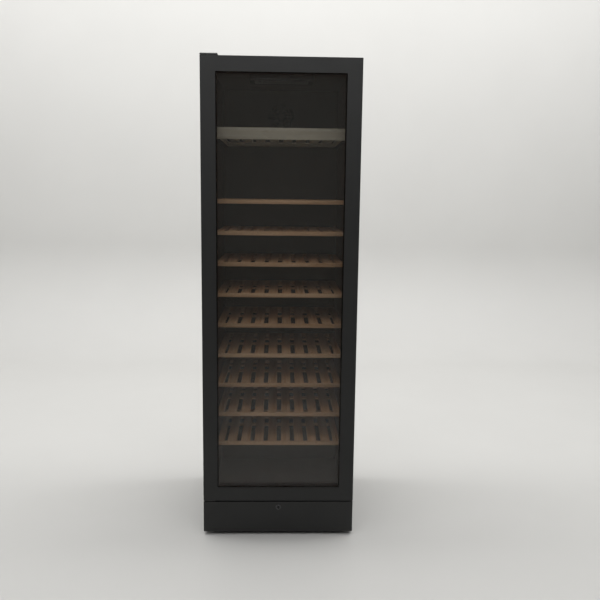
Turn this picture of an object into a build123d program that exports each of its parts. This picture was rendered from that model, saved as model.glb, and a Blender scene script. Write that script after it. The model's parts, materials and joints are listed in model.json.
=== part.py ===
from build123d import *
import os

# A tall free-standing wine cooler with one full-height glass door, hinged on the left.
# Millimetres. The origin is on the floor, below the middle of the cabinet.
# +X is to the right of somebody facing the door, +Y runs from the door to the back, +Z is up.

os.makedirs("parts", exist_ok=True)

# ---- Driving dimensions ----

WIDTH = 595.0
DEPTH = 600.0
DOOR_TOP = 1850.0
DOOR_BOTTOM = 145.0
PLINTH_TOP = 140.0
PLINTH_BOTTOM = 15.0
FRAME_FACE = 56.0  # width of the door frame, seen from the front
DOOR_THICKNESS = 42.0
SEAL_GAP = 8.0  # between the door's back and the cabinet's front
CABINET_TOP = 1848.0
SHEET = 0.8  # steel sheet of the cabinet
REAR_SHEET = 285.0  # outer face of the rear panel

HALF = WIDTH / 2
FRONT = -DEPTH / 2
BACK = DEPTH / 2
DOOR_BACK = FRONT + DOOR_THICKNESS
CABINET_FRONT = DOOR_BACK + SEAL_GAP
SIDE_INSIDE = HALF - SHEET
TOP_INSIDE = CABINET_TOP - SHEET
REAR_INSIDE = REAR_SHEET - SHEET
CLEAR = 0.2  # left between pieces that are assembled side by side

# Inside of the cabinet
LINER = 2.4
CAVITY_HALF = 250.0
CAVITY_FLOOR = 200.0
CAVITY_CEILING = 1800.0
CAVITY_BACK = 232.0
STEP_FRONT = 20.0  # the floor steps up behind here, over the machine compartment
STEP_TOP = 338.0
FLANGE_HALF = 262.0  # where the liner's flange meets the steel front
FLANGE_BOTTOM = 188.0
FLANGE_TOP = 1806.0

# Machine compartment
PAN_BOTTOM = 40.0
PAN_TOP = PAN_BOTTOM + SHEET
DECK = 142.0  # top of the sheet below the foam floor
BULKHEAD = 60.0  # back face of the foam in front of the compartment
COMPARTMENT_ROOF = 298.5

# Shelves
SHELF_PITCH = 120.8
TOP_SHELF = 1575.0  # upper face of the display shelf, on the same pitch as the others
SHELF_LEVELS = [2, 3, 4, 5, 6, 7, 8, 9, 10]  # level 0 is the display shelf, 1 stays free
SHELF_HALF = 247.0
SHELF_FRONT = -230.0
SHELF_BACK = 190.0
SHELF_HEIGHT = 16.0
FRONT_STRIP = 8.0  # thickness of the strip along a shelf's front
BACK_BAR = 20.0
DISPLAY_RISE = 28.0  # how far the display shelf's front board stands above its slats
SLAT_WIDTH = 36.0
SLAT_GAP = 18.0
SLAT_THICKNESS = 10.0
SLATS = 8
SIDE_RAIL = 25.0
BATTEN = 30.0
BATTEN_YS = (20.0, 120.0)  # middles of the two battens below the slats
ARRIS = 1.0
RUNNER_REACH = 18.0
RUNNER_THICKNESS = 3.0
RUNNER_DROP = 0.5  # from the shelf's underside to the runner
STOP_THICKNESS = 2.5
STOP_HEIGHT = 8.0

# Hinge
PIN_X = -282.0
PIN_Y = -281.0
PIN_RADIUS = 4.0
RUNNING = 0.05  # radial clearance of a shaft in its bearing
BUSH_RADIUS = 6.0
BUSH_LENGTH = 24.0
BUSH_FLANGE = 1.2
PLATE = 3.0
PLATE_LEFT = -295.0
PLATE_EDGE = 11.0  # how far a bracket reaches in front of the pin's axis
TOP_LEAF_RIGHT = -238.0
TOP_LEAF_BACK = -194.0
TOP_ARM_RIGHT = -268.0
LOWER_LEAF_RIGHT = -252.0
LOWER_LEAF_BOTTOM = 60.0
HINGE_SCREW = 3.0
HINGE_SCREWS = [(-270.0, -228.0), (-250.0, -228.0), (-260.0, -206.0)]
BRACKET_SCREW = 2.5
BRACKET_SCREWS = [(-273.0, 75.0), (-273.0, 105.0)]

# Door
SKIN = 1.2
PANE = 4.0
PANE_GAP = 16.0
PANE_LAP = 7.5  # how far the glass reaches behind the frame
SPACER_SHOW = 4.0  # how far the spacer reaches into view, all round the glass
OPENING_HALF = HALF - FRAME_FACE
OPENING_TOP = DOOR_TOP - FRAME_FACE + 0.5
OPENING_BOTTOM = DOOR_BOTTOM + FRAME_FACE
GLASS_FRONT = FRONT + SKIN
INNER_PANE = GLASS_FRONT + PANE + PANE_GAP
UNIT_BACK = INNER_PANE + PANE
PANE_HALF = OPENING_HALF + PANE_LAP
PANE_TOP = OPENING_TOP + PANE_LAP
PANE_BOTTOM = OPENING_BOTTOM - PANE_LAP
GASKET_HALF = -PIN_X  # outer edge of the gasket, level with the pin so that it never drags
GASKET_TOP = 1829.0
GASKET_BOTTOM = 160.0
GASKET_WIDTH = 14.0

# Lock
LOCK_Z = 117.5
LOCK_FACE = 11.0
LOCK_BODY = 9.0
BARREL = 6.5
CAM_FRONT = -284.0
CAM_THICKNESS = 2.5
CAM_REACH = 42.0
CAM_HALF = 7.0
CAM_ROUND = 4.0
TANG = 4.0  # half the width of the square that carries the cam
NUT = 13.0
KEYWAY = (1.8, 7.0, 9.0)  # width, height and depth

# Fans
BLADES = 7
BLADE_PITCH = 32.0
FAN_SHAFT = 2.5
ROOM_FAN = (0.0, 204.0, 1690.0)
CONDENSER_FAN = (-150.0, 170.0, 165.0)

# Feet and rollers
FOOT = (245.0, -215.0)
FOOT_RADIUS = 20.0
FOOT_STEM = 5.0
PAD_HEIGHT = 8.0
STEM_LENGTH = 54.0
NUT_RADIUS = 10.0
NUT_HEIGHT = 16.0
ROLLER = (235.0, 235.0)
ROLLER_RADIUS = 18.0
ROLLER_WIDTH = 18.0
AXLE = 3.0
EAR_THICKNESS = 2.0
EAR_BOTTOM = 10.0
EAR_HALF = 14.0
AXLE_HEAD = 5.0


# ---- Helpers ----

def slab(x, y, z, mode=Mode.ADD):
    """A box between two values of each coordinate, in the part being built."""
    spans = [sorted(pair) for pair in (x, y, z)]
    centre = tuple((low + high) / 2 for low, high in spans)
    size = [high - low for low, high in spans]
    with Locations(centre):
        return Box(*size, mode=mode)


def upright(y):
    """The plane at depth y, seen from the door side: X to the right and Z up."""
    return Plane.XZ.offset(-y)


def framed(half, bottom, top, y, depth, mode=Mode.ADD):
    """A rectangular block from depth y backwards, in the part being built."""
    with BuildSketch(upright(y)) as face:
        with Locations((0, (top + bottom) / 2)):
            Rectangle(2 * half, top - bottom)
    extrude(face.sketch, amount=-depth, mode=mode)


def rod(centre, direction, radius, length, mode=Mode.ADD):
    """A round rod from a point along a direction, in the part being built."""
    with BuildSketch(Plane(origin=centre, z_dir=direction)) as disc:
        Circle(radius)
    extrude(disc.sketch, amount=length, mode=mode)


def screw(point, direction, head, shank, length):
    """A pan-head screw with a socket: the head stands on the point and the shank runs back."""
    height = head * 0.35
    seat = Plane(origin=point, z_dir=direction)
    with BuildSketch(seat) as pan:
        Circle(head)
    extrude(pan.sketch, amount=height, taper=15)
    with BuildSketch(seat.offset(height)) as socket:
        RegularPolygon(head * 0.45, 6)
    extrude(socket.sketch, amount=-height * 0.6, mode=Mode.SUBTRACT)
    with BuildSketch(seat) as thread:
        Circle(shank)
    extrude(thread.sketch, amount=-length)


def tube(points, bend, radius):
    """A bent round pipe through the points, with every corner an arc of the same radius."""
    with BuildLine() as path:
        FilletPolyline(*points, radius=bend)
    with BuildSketch(Plane(origin=path.line @ 0, z_dir=path.line % 0)) as bore:
        Circle(radius)
    sweep(bore.sketch, path=path.line)


def save(piece, name):
    """Label a finished piece and write it to its own file."""
    piece.part.label = name
    export_step(piece.part, f"parts/{name}.step")


# ---- Cabinet shell ----

PANEL_FOOT = 22.0  # lower edge of the side panels
RIVET = 2.4
RIVET_HEAD = 4.5
RIVET_HEIGHT = 1.6
RIVET_XS = [-285.0, 285.0]
RIVET_ZS = [330.0, 700.0, 1080.0, 1460.0, 1820.0]
SWAGE_ZS = [700.0, 1450.0]
SWAGE = (460.0, 60.0)
SWAGE_STEP = 4.0  # width of the raised band
SWAGE_HEIGHT = 1.2
SPACERS = [(-200.0, 1700.0), (200.0, 1700.0)]
SPACER_RADIUS = 18.0

def side_panel(side):
    """Steel side sheet with a flange turned in at the front; side is -1 left, 1 right."""
    with BuildPart() as panel:
        slab(
            (side * SIDE_INSIDE, side * HALF),
            (CABINET_FRONT, REAR_SHEET),
            (PANEL_FOOT, CABINET_TOP),
        )
        slab(
            (side * FLANGE_HALF, side * HALF),
            (CABINET_FRONT, CABINET_FRONT + SHEET),
            (DECK, TOP_INSIDE - CLEAR),
        )
    return panel


save(side_panel(-1), "side_panel_left")
save(side_panel(1), "side_panel_right")

with BuildPart() as top_panel:
    slab(
        (-SIDE_INSIDE + CLEAR, SIDE_INSIDE - CLEAR),
        (CABINET_FRONT, REAR_SHEET),
        (TOP_INSIDE, CABINET_TOP),
    )
    slab(
        (-FLANGE_HALF + CLEAR, FLANGE_HALF - CLEAR),
        (CABINET_FRONT, CABINET_FRONT + SHEET),
        (FLANGE_TOP, CABINET_TOP),
    )
    for x, y in HINGE_SCREWS:
        rod((x, y, CABINET_TOP), (0, 0, -1), HINGE_SCREW, SHEET, mode=Mode.SUBTRACT)
save(top_panel, "top_panel")

with BuildPart() as rear_panel:
    framed(
        SIDE_INSIDE - CLEAR,
        COMPARTMENT_ROOF + CLEAR,
        TOP_INSIDE - CLEAR,
        REAR_INSIDE,
        SHEET,
    )
    # Two swages stiffen the sheet.
    for z in SWAGE_ZS:
        with BuildSketch(upright(REAR_SHEET)):
            with Locations((0, z)):
                SlotOverall(*SWAGE)
                SlotOverall(
                    SWAGE[0] - 2 * SWAGE_STEP,
                    SWAGE[1] - 2 * SWAGE_STEP,
                    mode=Mode.SUBTRACT,
                )
        extrude(amount=-SWAGE_HEIGHT)
    for x in RIVET_XS:
        for z in RIVET_ZS:
            rod((x, REAR_SHEET, z), (0, -1, 0), RIVET, SHEET, mode=Mode.SUBTRACT)
save(rear_panel, "rear_panel")

with BuildPart() as insulation_foam:
    FOAM_SIDE = CAVITY_HALF + LINER
    FOAM_FRONT = CABINET_FRONT + SHEET
    for side in (-1, 1):
        wall = (side * FOAM_SIDE, side * SIDE_INSIDE)
        slab(wall, (FOAM_FRONT, REAR_INSIDE), (COMPARTMENT_ROOF + CLEAR, TOP_INSIDE))
        slab(wall, (FOAM_FRONT, BULKHEAD), (DECK, COMPARTMENT_ROOF))
    between = (-FOAM_SIDE + CLEAR, FOAM_SIDE - CLEAR)
    # Floor, front of the step, top of the step, back and ceiling
    slab(between, (FOAM_FRONT, BULKHEAD), (DECK, CAVITY_FLOOR - LINER))
    slab(
        between,
        (STEP_FRONT + LINER, BULKHEAD),
        (CAVITY_FLOOR - LINER + CLEAR, STEP_TOP - LINER),
    )
    slab(
        between,
        (BULKHEAD + CLEAR, CAVITY_BACK + LINER - CLEAR),
        (COMPARTMENT_ROOF, STEP_TOP - LINER),
    )
    slab(
        between,
        (CAVITY_BACK + LINER, REAR_INSIDE),
        (COMPARTMENT_ROOF, CAVITY_CEILING + LINER - CLEAR),
    )
    slab(between, (FOAM_FRONT, REAR_INSIDE), (CAVITY_CEILING + LINER, TOP_INSIDE))
save(insulation_foam, "insulation_foam")


def cavity_outline(grow):
    """Side view of the cavity with its step, grown outwards by a wall thickness."""
    Polyline(
        (CABINET_FRONT, CAVITY_FLOOR - grow),
        (STEP_FRONT + grow, CAVITY_FLOOR - grow),
        (STEP_FRONT + grow, STEP_TOP - grow),
        (CAVITY_BACK + grow, STEP_TOP - grow),
        (CAVITY_BACK + grow, CAVITY_CEILING + grow),
        (CABINET_FRONT, CAVITY_CEILING + grow),
        close=True,
    )


with BuildPart() as inner_liner:
    with BuildSketch(Plane.YZ):
        with BuildLine():
            cavity_outline(LINER)
        make_face()
    extrude(amount=CAVITY_HALF + LINER, both=True)
    framed(FLANGE_HALF, FLANGE_BOTTOM, FLANGE_TOP, CABINET_FRONT, SHEET)
    with BuildSketch(Plane.YZ):
        with BuildLine():
            cavity_outline(0)
        make_face()
    extrude(amount=CAVITY_HALF, both=True, mode=Mode.SUBTRACT)
save(inner_liner, "inner_liner")

with BuildPart() as compartment_wall:
    across = (-SIDE_INSIDE + CLEAR, SIDE_INSIDE - CLEAR)
    slab(across, (CABINET_FRONT + SHEET, BULKHEAD + SHEET), (DECK - SHEET, DECK))
    slab(
        (-FLANGE_HALF + CLEAR, FLANGE_HALF - CLEAR),
        (CABINET_FRONT, CABINET_FRONT + SHEET),
        (DECK - SHEET, FLANGE_BOTTOM - CLEAR),
    )
    slab(across, (BULKHEAD, BULKHEAD + SHEET), (DECK - SHEET, COMPARTMENT_ROOF))
    slab(across, (BULKHEAD, REAR_INSIDE), (COMPARTMENT_ROOF - SHEET, COMPARTMENT_ROOF))
save(compartment_wall, "compartment_wall")

# ---- Base ----

PAN_LIP = 12.0
INTAKE_Y = -120.0
INTAKE_SLOT = (120.0, 9.0)
INTAKE_PITCH = 30.0
INTAKE_SLOTS = 12

with BuildPart() as base_pan:
    across = (-SIDE_INSIDE + CLEAR, SIDE_INSIDE - CLEAR)
    slab(across, (CABINET_FRONT, REAR_INSIDE), (PAN_BOTTOM, PAN_TOP))
    slab(across, (CABINET_FRONT, CABINET_FRONT + SHEET), (PAN_BOTTOM, DECK - SHEET - CLEAR))
    slab(across, (REAR_INSIDE - SHEET, REAR_INSIDE), (PAN_BOTTOM, PAN_TOP + PAN_LIP))
    # Air intake slots below the cabinet's front
    with BuildSketch(Plane.XY.offset(PAN_TOP)):
        with Locations((0, INTAKE_Y)):
            with GridLocations(INTAKE_PITCH, 0, INTAKE_SLOTS, 1):
                SlotOverall(*INTAKE_SLOT, rotation=90)
    extrude(amount=-SHEET, mode=Mode.SUBTRACT)
    # Welded nuts for the levelling feet
    for side in (-1, 1):
        rod((side * FOOT[0], FOOT[1], PAN_TOP), (0, 0, 1), NUT_RADIUS, NUT_HEIGHT)
        rod(
            (side * FOOT[0], FOOT[1], PAN_BOTTOM),
            (0, 0, 1),
            FOOT_STEM + RUNNING,
            NUT_HEIGHT + SHEET,
            mode=Mode.SUBTRACT,
        )
    # Holes for the screws of the lower hinge bracket
    for x, z in BRACKET_SCREWS:
        rod((x, CABINET_FRONT, z), (0, 1, 0), BRACKET_SCREW, SHEET, mode=Mode.SUBTRACT)
save(base_pan, "base_pan")

with BuildPart() as plinth:
    PLINTH_FRONT = FRONT + 1
    PLINTH_SKIN = 1.2
    PLINTH_ROUND = 1.0
    PLINTH_FLANGE = 30.0  # depth of the lower flange
    SWING_X = (-44, 10)  # where the lock's cam swings up
    SWING_Y = (CAM_FRONT - 4, CAM_FRONT + 7)
    POST_XS = (-200, 200)
    POST_HALF = 6.0
    POST_Z = (60, 80)
    slab((-HALF, HALF), (PLINTH_FRONT, CABINET_FRONT), (PLINTH_BOTTOM, PLINTH_TOP))
    front_edges = plinth.edges().group_by(Axis.Y)[0]
    fillet(front_edges, radius=PLINTH_ROUND)
    slab(
        (-HALF + PLINTH_SKIN, HALF - PLINTH_SKIN),
        (PLINTH_FRONT + PLINTH_SKIN, CABINET_FRONT),
        (PLINTH_BOTTOM + PLINTH_SKIN, PLINTH_TOP - PLINTH_SKIN),
        mode=Mode.SUBTRACT,
    )
    # The lower flange is short and the upper one stops before the hinge bracket's leg.
    slab(
        (-HALF + PLINTH_SKIN, HALF - PLINTH_SKIN),
        (FRONT + PLINTH_FLANGE, CABINET_FRONT),
        (PLINTH_BOTTOM, PLINTH_BOTTOM + PLINTH_SKIN),
        mode=Mode.SUBTRACT,
    )
    slab(
        (-HALF + PLINTH_SKIN, HALF - PLINTH_SKIN),
        (CABINET_FRONT - PLATE - 1, CABINET_FRONT),
        (PLINTH_TOP - PLINTH_SKIN, PLINTH_TOP),
        mode=Mode.SUBTRACT,
    )
    # Hole for the lock, and the slot that its cam swings up through
    rod((0, PLINTH_FRONT, LOCK_Z), (0, 1, 0), LOCK_BODY, PLINTH_SKIN, mode=Mode.SUBTRACT)
    slab(SWING_X, SWING_Y, (PLINTH_TOP - PLINTH_SKIN, PLINTH_TOP), mode=Mode.SUBTRACT)
    # Posts that hold the plinth off the base pan
    for x in POST_XS:
        slab((x - POST_HALF, x + POST_HALF), (PLINTH_FRONT + PLINTH_SKIN, CABINET_FRONT), POST_Z)
save(plinth, "plinth")


def levelling_foot(side):
    """Screw foot: a round pad with its threaded stem."""
    with BuildPart() as foot:
        rod((side * FOOT[0], FOOT[1], 0), (0, 0, 1), FOOT_RADIUS, PAD_HEIGHT)
        fillet(foot.edges().group_by(Axis.Z)[-1], radius=3.0)
        rod((side * FOOT[0], FOOT[1], PAD_HEIGHT), (0, 0, 1), FOOT_STEM, STEM_LENGTH)
    return foot


save(levelling_foot(-1), "levelling_foot_left")
save(levelling_foot(1), "levelling_foot_right")


def roller(side):
    """Rear roller, a wheel with rounded edges and a bore for its axle."""
    with BuildPart() as wheel:
        start = (side * ROLLER[0] - ROLLER_WIDTH / 2, ROLLER[1], ROLLER_RADIUS)
        rod(start, (1, 0, 0), ROLLER_RADIUS, ROLLER_WIDTH)
        fillet(wheel.edges().filter_by(GeomType.CIRCLE), radius=2.0)
        rod(start, (1, 0, 0), AXLE + RUNNING, ROLLER_WIDTH, mode=Mode.SUBTRACT)
    return wheel


save(roller(-1), "roller_left")
save(roller(1), "roller_right")

with BuildPart() as roller_brackets:
    EAR_START = ROLLER_WIDTH / 2 + 1
    EAR_END = EAR_START + EAR_THICKNESS
    for side in (-1, 1):
        middle = side * ROLLER[0]
        length_y = (ROLLER[1] - EAR_HALF, ROLLER[1] + EAR_HALF)
        slab((middle - EAR_END, middle + EAR_END), length_y, (PAN_BOTTOM - 2, PAN_BOTTOM))
        for ear in (-1, 1):
            ear_x = (middle + ear * EAR_START, middle + ear * EAR_END)
            slab(ear_x, length_y, (EAR_BOTTOM, PAN_BOTTOM - 1))
        start = (middle - EAR_END, ROLLER[1], ROLLER_RADIUS)
        rod(start, (1, 0, 0), AXLE + 0.1, 2 * EAR_END, mode=Mode.SUBTRACT)
        # The axle is a separate pin with a head at each end.
        pin = (middle - EAR_END - 2, ROLLER[1], ROLLER_RADIUS)
        rod(pin, (1, 0, 0), AXLE, 2 * EAR_END + 4)
        for end in (-1, 1):
            head = (middle + end * (EAR_END + 0.1), ROLLER[1], ROLLER_RADIUS)
            rod(head, (end, 0, 0), AXLE_HEAD, 2.0)
save(roller_brackets, "roller_brackets")

# ---- Hinges ----

with BuildPart() as top_hinge_bracket:
    ARM_BOTTOM = DOOR_TOP + 1.5
    ARM_TOP = ARM_BOTTOM + PLATE
    ARM_ROOT = CABINET_FRONT + 1
    slab((PLATE_LEFT, TOP_LEAF_RIGHT), (ARM_ROOT, TOP_LEAF_BACK), (CABINET_TOP, ARM_TOP))
    slab((PLATE_LEFT, TOP_ARM_RIGHT), (PIN_Y - PLATE_EDGE, ARM_ROOT), (ARM_BOTTOM, ARM_TOP))
    rod((PIN_X, PIN_Y, ARM_BOTTOM), (0, 0, 1), PIN_RADIUS, PLATE, mode=Mode.SUBTRACT)
    for x, y in HINGE_SCREWS:
        rod(
            (x, y, ARM_TOP),
            (0, 0, -1),
            HINGE_SCREW,
            ARM_TOP - CABINET_TOP,
            mode=Mode.SUBTRACT,
        )
save(top_hinge_bracket, "top_hinge_bracket")

with BuildPart() as bottom_hinge_bracket:
    STEP_PLATE = PLINTH_TOP + 0.6
    leaf_x = (PLATE_LEFT, LOWER_LEAF_RIGHT)
    slab(leaf_x, (PIN_Y - PLATE_EDGE, CABINET_FRONT), (STEP_PLATE, STEP_PLATE + PLATE))
    slab(leaf_x, (CABINET_FRONT - PLATE, CABINET_FRONT), (LOWER_LEAF_BOTTOM, STEP_PLATE))
    rod((PIN_X, PIN_Y, STEP_PLATE), (0, 0, 1), PIN_RADIUS, PLATE, mode=Mode.SUBTRACT)
    for x, z in BRACKET_SCREWS:
        rod(
            (x, CABINET_FRONT - PLATE, z),
            (0, 1, 0),
            BRACKET_SCREW,
            PLATE,
            mode=Mode.SUBTRACT,
        )
save(bottom_hinge_bracket, "bottom_hinge_bracket")

with BuildPart() as hinge_pins:
    PIN_REACH = BUSH_LENGTH - 2
    rod((PIN_X, PIN_Y, ARM_TOP), (0, 0, -1), PIN_RADIUS, ARM_TOP - DOOR_TOP + PIN_REACH)
    rod((PIN_X, PIN_Y, STEP_PLATE), (0, 0, 1), PIN_RADIUS, DOOR_BOTTOM - STEP_PLATE + PIN_REACH)
save(hinge_pins, "hinge_pins")

with BuildPart() as hinge_cover:
    COVER_RIGHT = -232.5
    COVER_BACK = -186.0
    COVER_TOP = 1858.0
    COVER_WALL = 1.5
    COVER_LIP = DOOR_TOP + 1.3
    slab((-HALF, COVER_RIGHT), (FRONT, COVER_BACK), (CABINET_TOP, COVER_TOP))
    fillet(hinge_cover.edges().group_by(Axis.Z)[-1], radius=3.0)
    slab(
        (-HALF + COVER_WALL, COVER_RIGHT - COVER_WALL),
        (FRONT + COVER_WALL, COVER_BACK - COVER_WALL),
        (CABINET_TOP, COVER_TOP - COVER_WALL),
        mode=Mode.SUBTRACT,
    )
    # Over the door the cover is cut short, so that the door swings under it.
    slab((-HALF, COVER_RIGHT), (FRONT, CABINET_FRONT), (CABINET_TOP, COVER_LIP), mode=Mode.SUBTRACT)
save(hinge_cover, "hinge_cover")

# ---- Shelves ----

def shelf_top(level):
    """Height of the slats' upper face at a level, counted down from the display shelf."""
    return TOP_SHELF - level * SHELF_PITCH


def wooden_shelf(level, rise):
    """Slatted beech shelf: front strip, back bar, side rails, slats front to back, two battens.

    The pieces are glued with a thin line of glue, which is the clear gap between them.
    """
    top = shelf_top(level)
    bottom = top - SHELF_HEIGHT
    glue = CLEAR / 2
    inner_y = (SHELF_FRONT + FRONT_STRIP + glue, SHELF_BACK - BACK_BAR - glue)
    rail_inside = SHELF_HALF - SIDE_RAIL
    with BuildPart() as shelf:
        across = (-SHELF_HALF, SHELF_HALF)
        slab(across, (SHELF_FRONT, SHELF_FRONT + FRONT_STRIP), (bottom, top + rise))
        slab(across, (SHELF_BACK - BACK_BAR, SHELF_BACK), (bottom, top))
        for side in (-1, 1):
            slab((side * rail_inside, side * SHELF_HALF), inner_y, (bottom, top))
        with Locations((0, sum(inner_y) / 2, top - SLAT_THICKNESS / 2)):
            with GridLocations(SLAT_WIDTH + SLAT_GAP, 0, SLATS, 1):
                Box(SLAT_WIDTH, inner_y[1] - inner_y[0], SLAT_THICKNESS)
        long_edges = [edge for edge in shelf.edges() if edge.length > BATTEN * 2]
        fillet(long_edges, radius=ARRIS)
        for y in BATTEN_YS:
            slab(
                (-rail_inside + glue, rail_inside - glue),
                (y - BATTEN / 2, y + BATTEN / 2),
                (bottom + glue, top - SLAT_THICKNESS - glue),
            )
    return shelf


save(wooden_shelf(0, DISPLAY_RISE), "display_shelf")
for number, level in enumerate(SHELF_LEVELS, start=1):
    save(wooden_shelf(level, 0), f"wine_shelf_{number}")

with BuildPart() as shelf_runners:
    # Ledges on the side walls, with a stop at the back end of each
    RUNNER_BACK = SHELF_BACK + 3
    for level in [0] + SHELF_LEVELS:
        ledge_top = shelf_top(level) - SHELF_HEIGHT - RUNNER_DROP
        for side in (-1, 1):
            reach = (side * (CAVITY_HALF - RUNNER_REACH), side * CAVITY_HALF)
            slab(reach, (SHELF_FRONT + 6, RUNNER_BACK), (ledge_top - RUNNER_THICKNESS, ledge_top))
            slab(reach, (RUNNER_BACK - STOP_THICKNESS, RUNNER_BACK), (ledge_top, ledge_top + STOP_HEIGHT))
save(shelf_runners, "shelf_runners")

# ---- Cold side ----

with BuildPart() as duct_panel:
    DUCT_FRONT = 196.0
    DUCT_SHEET = 2.5
    GUARD_RADIUS = 58.0
    GUARD_RINGS = (14.0, 29.0, 44.0)
    GUARD_WIRE = 3.0
    SPOKE = 4.0
    RETURN_SLOT = (40.0, 8.0)
    RETURN_PITCH = 24.0
    OUTLET_SLOT = (40.0, 7.0)
    OUTLETS_APART = 400.0
    framed(CAVITY_HALF - 2, STEP_TOP + 6, CAVITY_CEILING - 2, DUCT_FRONT, DUCT_SHEET)
    # Round guard in front of the fan: rings and spokes left standing
    with BuildSketch(upright(DUCT_FRONT)):
        with Locations((ROOM_FAN[0], ROOM_FAN[2])):
            Circle(GUARD_RADIUS)
            for ring in reversed(GUARD_RINGS):
                Circle(ring, mode=Mode.SUBTRACT)
                Circle(ring - GUARD_WIRE)
            Circle(GUARD_RINGS[0], mode=Mode.SUBTRACT)
            Rectangle(2 * GUARD_RADIUS, SPOKE, mode=Mode.SUBTRACT)
            Rectangle(SPOKE, 2 * GUARD_RADIUS, mode=Mode.SUBTRACT)
    extrude(amount=-DUCT_SHEET, mode=Mode.SUBTRACT)
    # Air slots: return air at the bottom, outlets up both sides
    with BuildSketch(upright(DUCT_FRONT)):
        with Locations((0, STEP_TOP + 40)):
            with GridLocations(RETURN_PITCH, 0, 14, 1):
                SlotOverall(*RETURN_SLOT, rotation=90)
        with Locations((0, (TOP_SHELF + STEP_TOP) / 2)):
            with GridLocations(OUTLETS_APART, SHELF_PITCH, 2, 9):
                SlotOverall(*OUTLET_SLOT)
    extrude(amount=-DUCT_SHEET, mode=Mode.SUBTRACT)
save(duct_panel, "duct_panel")

with BuildPart() as evaporator:
    # Aluminium fins on a serpentine tube
    FIN_PITCH = 11.0
    FIN = 0.5  # half the thickness of a fin
    FIN_Y = (203, 229)
    FIN_Z = (1000, 1400)
    TUBE = 4.0
    TUBE_Y = 216.0
    TUBE_ZS = (1040.0, 1120.0, 1200.0, 1280.0, 1360.0)
    END_PLATE_X = 168.0
    TUBE_END = END_PLATE_X + TUBE
    for index in range(-15, 16):
        fin_x = FIN_PITCH * index
        slab((fin_x - FIN, fin_x + FIN), FIN_Y, FIN_Z)
    for z in TUBE_ZS:
        rod((-TUBE_END, TUBE_Y, z), (1, 0, 0), TUBE, 2 * TUBE_END)
    for index, z in enumerate(TUBE_ZS[:-1]):
        bend_x = END_PLATE_X if index % 2 == 0 else -END_PLATE_X
        rod((bend_x, TUBE_Y, z), (0, 0, 1), TUBE, TUBE_ZS[index + 1] - z)
    # End plates, fixed to the back wall
    for x in (-END_PLATE_X, END_PLATE_X):
        slab((x - 0.75, x + 0.75), (FIN_Y[0] - 1, CAVITY_BACK), (FIN_Z[0] - 10, FIN_Z[1] + 10))
save(evaporator, "evaporator")

with BuildPart() as fan_motor:
    MOTOR_FRONT = (ROOM_FAN[0], 217.5, ROOM_FAN[2])
    MOTOR_RADIUS = 19.0
    MOTOR_BAR = (124.0, 4.0, 20.0)  # bar across the back that carries the motor
    rod(MOTOR_FRONT, (0, 1, 0), MOTOR_RADIUS, CAVITY_BACK - MOTOR_FRONT[1])
    with Locations((ROOM_FAN[0], CAVITY_BACK - MOTOR_BAR[1] / 2, ROOM_FAN[2])):
        Box(*MOTOR_BAR)
    rod(MOTOR_FRONT, (0, 1, 0), FAN_SHAFT + RUNNING, 11.0, mode=Mode.SUBTRACT)
save(fan_motor, "fan_motor")


def axial_fan(centre, direction, radius, hub, depth, shaft_length):
    """Axial fan with pitched blades on a round hub, and its shaft running back."""
    plane = Plane(origin=centre, z_dir=direction)
    with BuildPart(plane) as rotor:
        with Locations((0, 0, depth / 2)):
            with PolarLocations((hub + radius) / 2 - 1, BLADES):
                Box(radius - hub + 2, hub * 1.15, 1.8, rotation=(BLADE_PITCH, 0, 0))
            Cylinder(hub, depth)
        with Locations((0, 0, depth + shaft_length / 2 - 1)):
            Cylinder(FAN_SHAFT, shaft_length + 2)
    return rotor


save(axial_fan(ROOM_FAN, (0, 1, 0), 53.0, 18.0, 12.0, 10.0), "circulation_fan")

HOUSING_HALF = 120.0
HOUSING_Y = (-238.0, -120.0)
HOUSING_BOTTOM = 1776.0
LIGHT_HALF = 102.0
LIGHT_Y = (-214.0, -136.0)
LIGHT_RECESS = 14.0
DIFFUSER = 2.5

with BuildPart() as control_housing:
    slab((-HOUSING_HALF, HOUSING_HALF), HOUSING_Y, (HOUSING_BOTTOM, CAVITY_CEILING))
    chamfer(control_housing.edges().group_by(Axis.Y)[0].group_by(Axis.Z)[0], length=6.0)
    recess = (HOUSING_BOTTOM, HOUSING_BOTTOM + LIGHT_RECESS)
    slab((-LIGHT_HALF, LIGHT_HALF), LIGHT_Y, recess, mode=Mode.SUBTRACT)
save(control_housing, "control_housing")

with BuildPart() as light_diffuser:
    slab(
        (-LIGHT_HALF + CLEAR, LIGHT_HALF - CLEAR),
        (LIGHT_Y[0] + CLEAR, LIGHT_Y[1] - CLEAR),
        (HOUSING_BOTTOM, HOUSING_BOTTOM + DIFFUSER),
    )
save(light_diffuser, "light_diffuser")

# ---- Machine compartment ----

COMPRESSOR = (120.0, 172.0)
CAN_RADIUS = 70.0
CAN_BOTTOM = 62.0
CAN_TOP = 212.0
DOME = 40.0  # height of the domed top
SEAM = (134.0, 140.0)  # weld seam round the can, bottom and top
SEAM_REACH = 4.0
FOOT_PLATE = (56.0, 59.0)
GROMMETS = [(x, y) for x in (45.0, 195.0) for y in (122.0, 222.0)]
GROMMET_NECK = 7.0
DISCHARGE_STUB = (90.0, 128.0, 100.0)
SUCTION_STUB = (90.0, 215.0, 120.0)
STUB_LENGTH = 34.0

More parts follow.
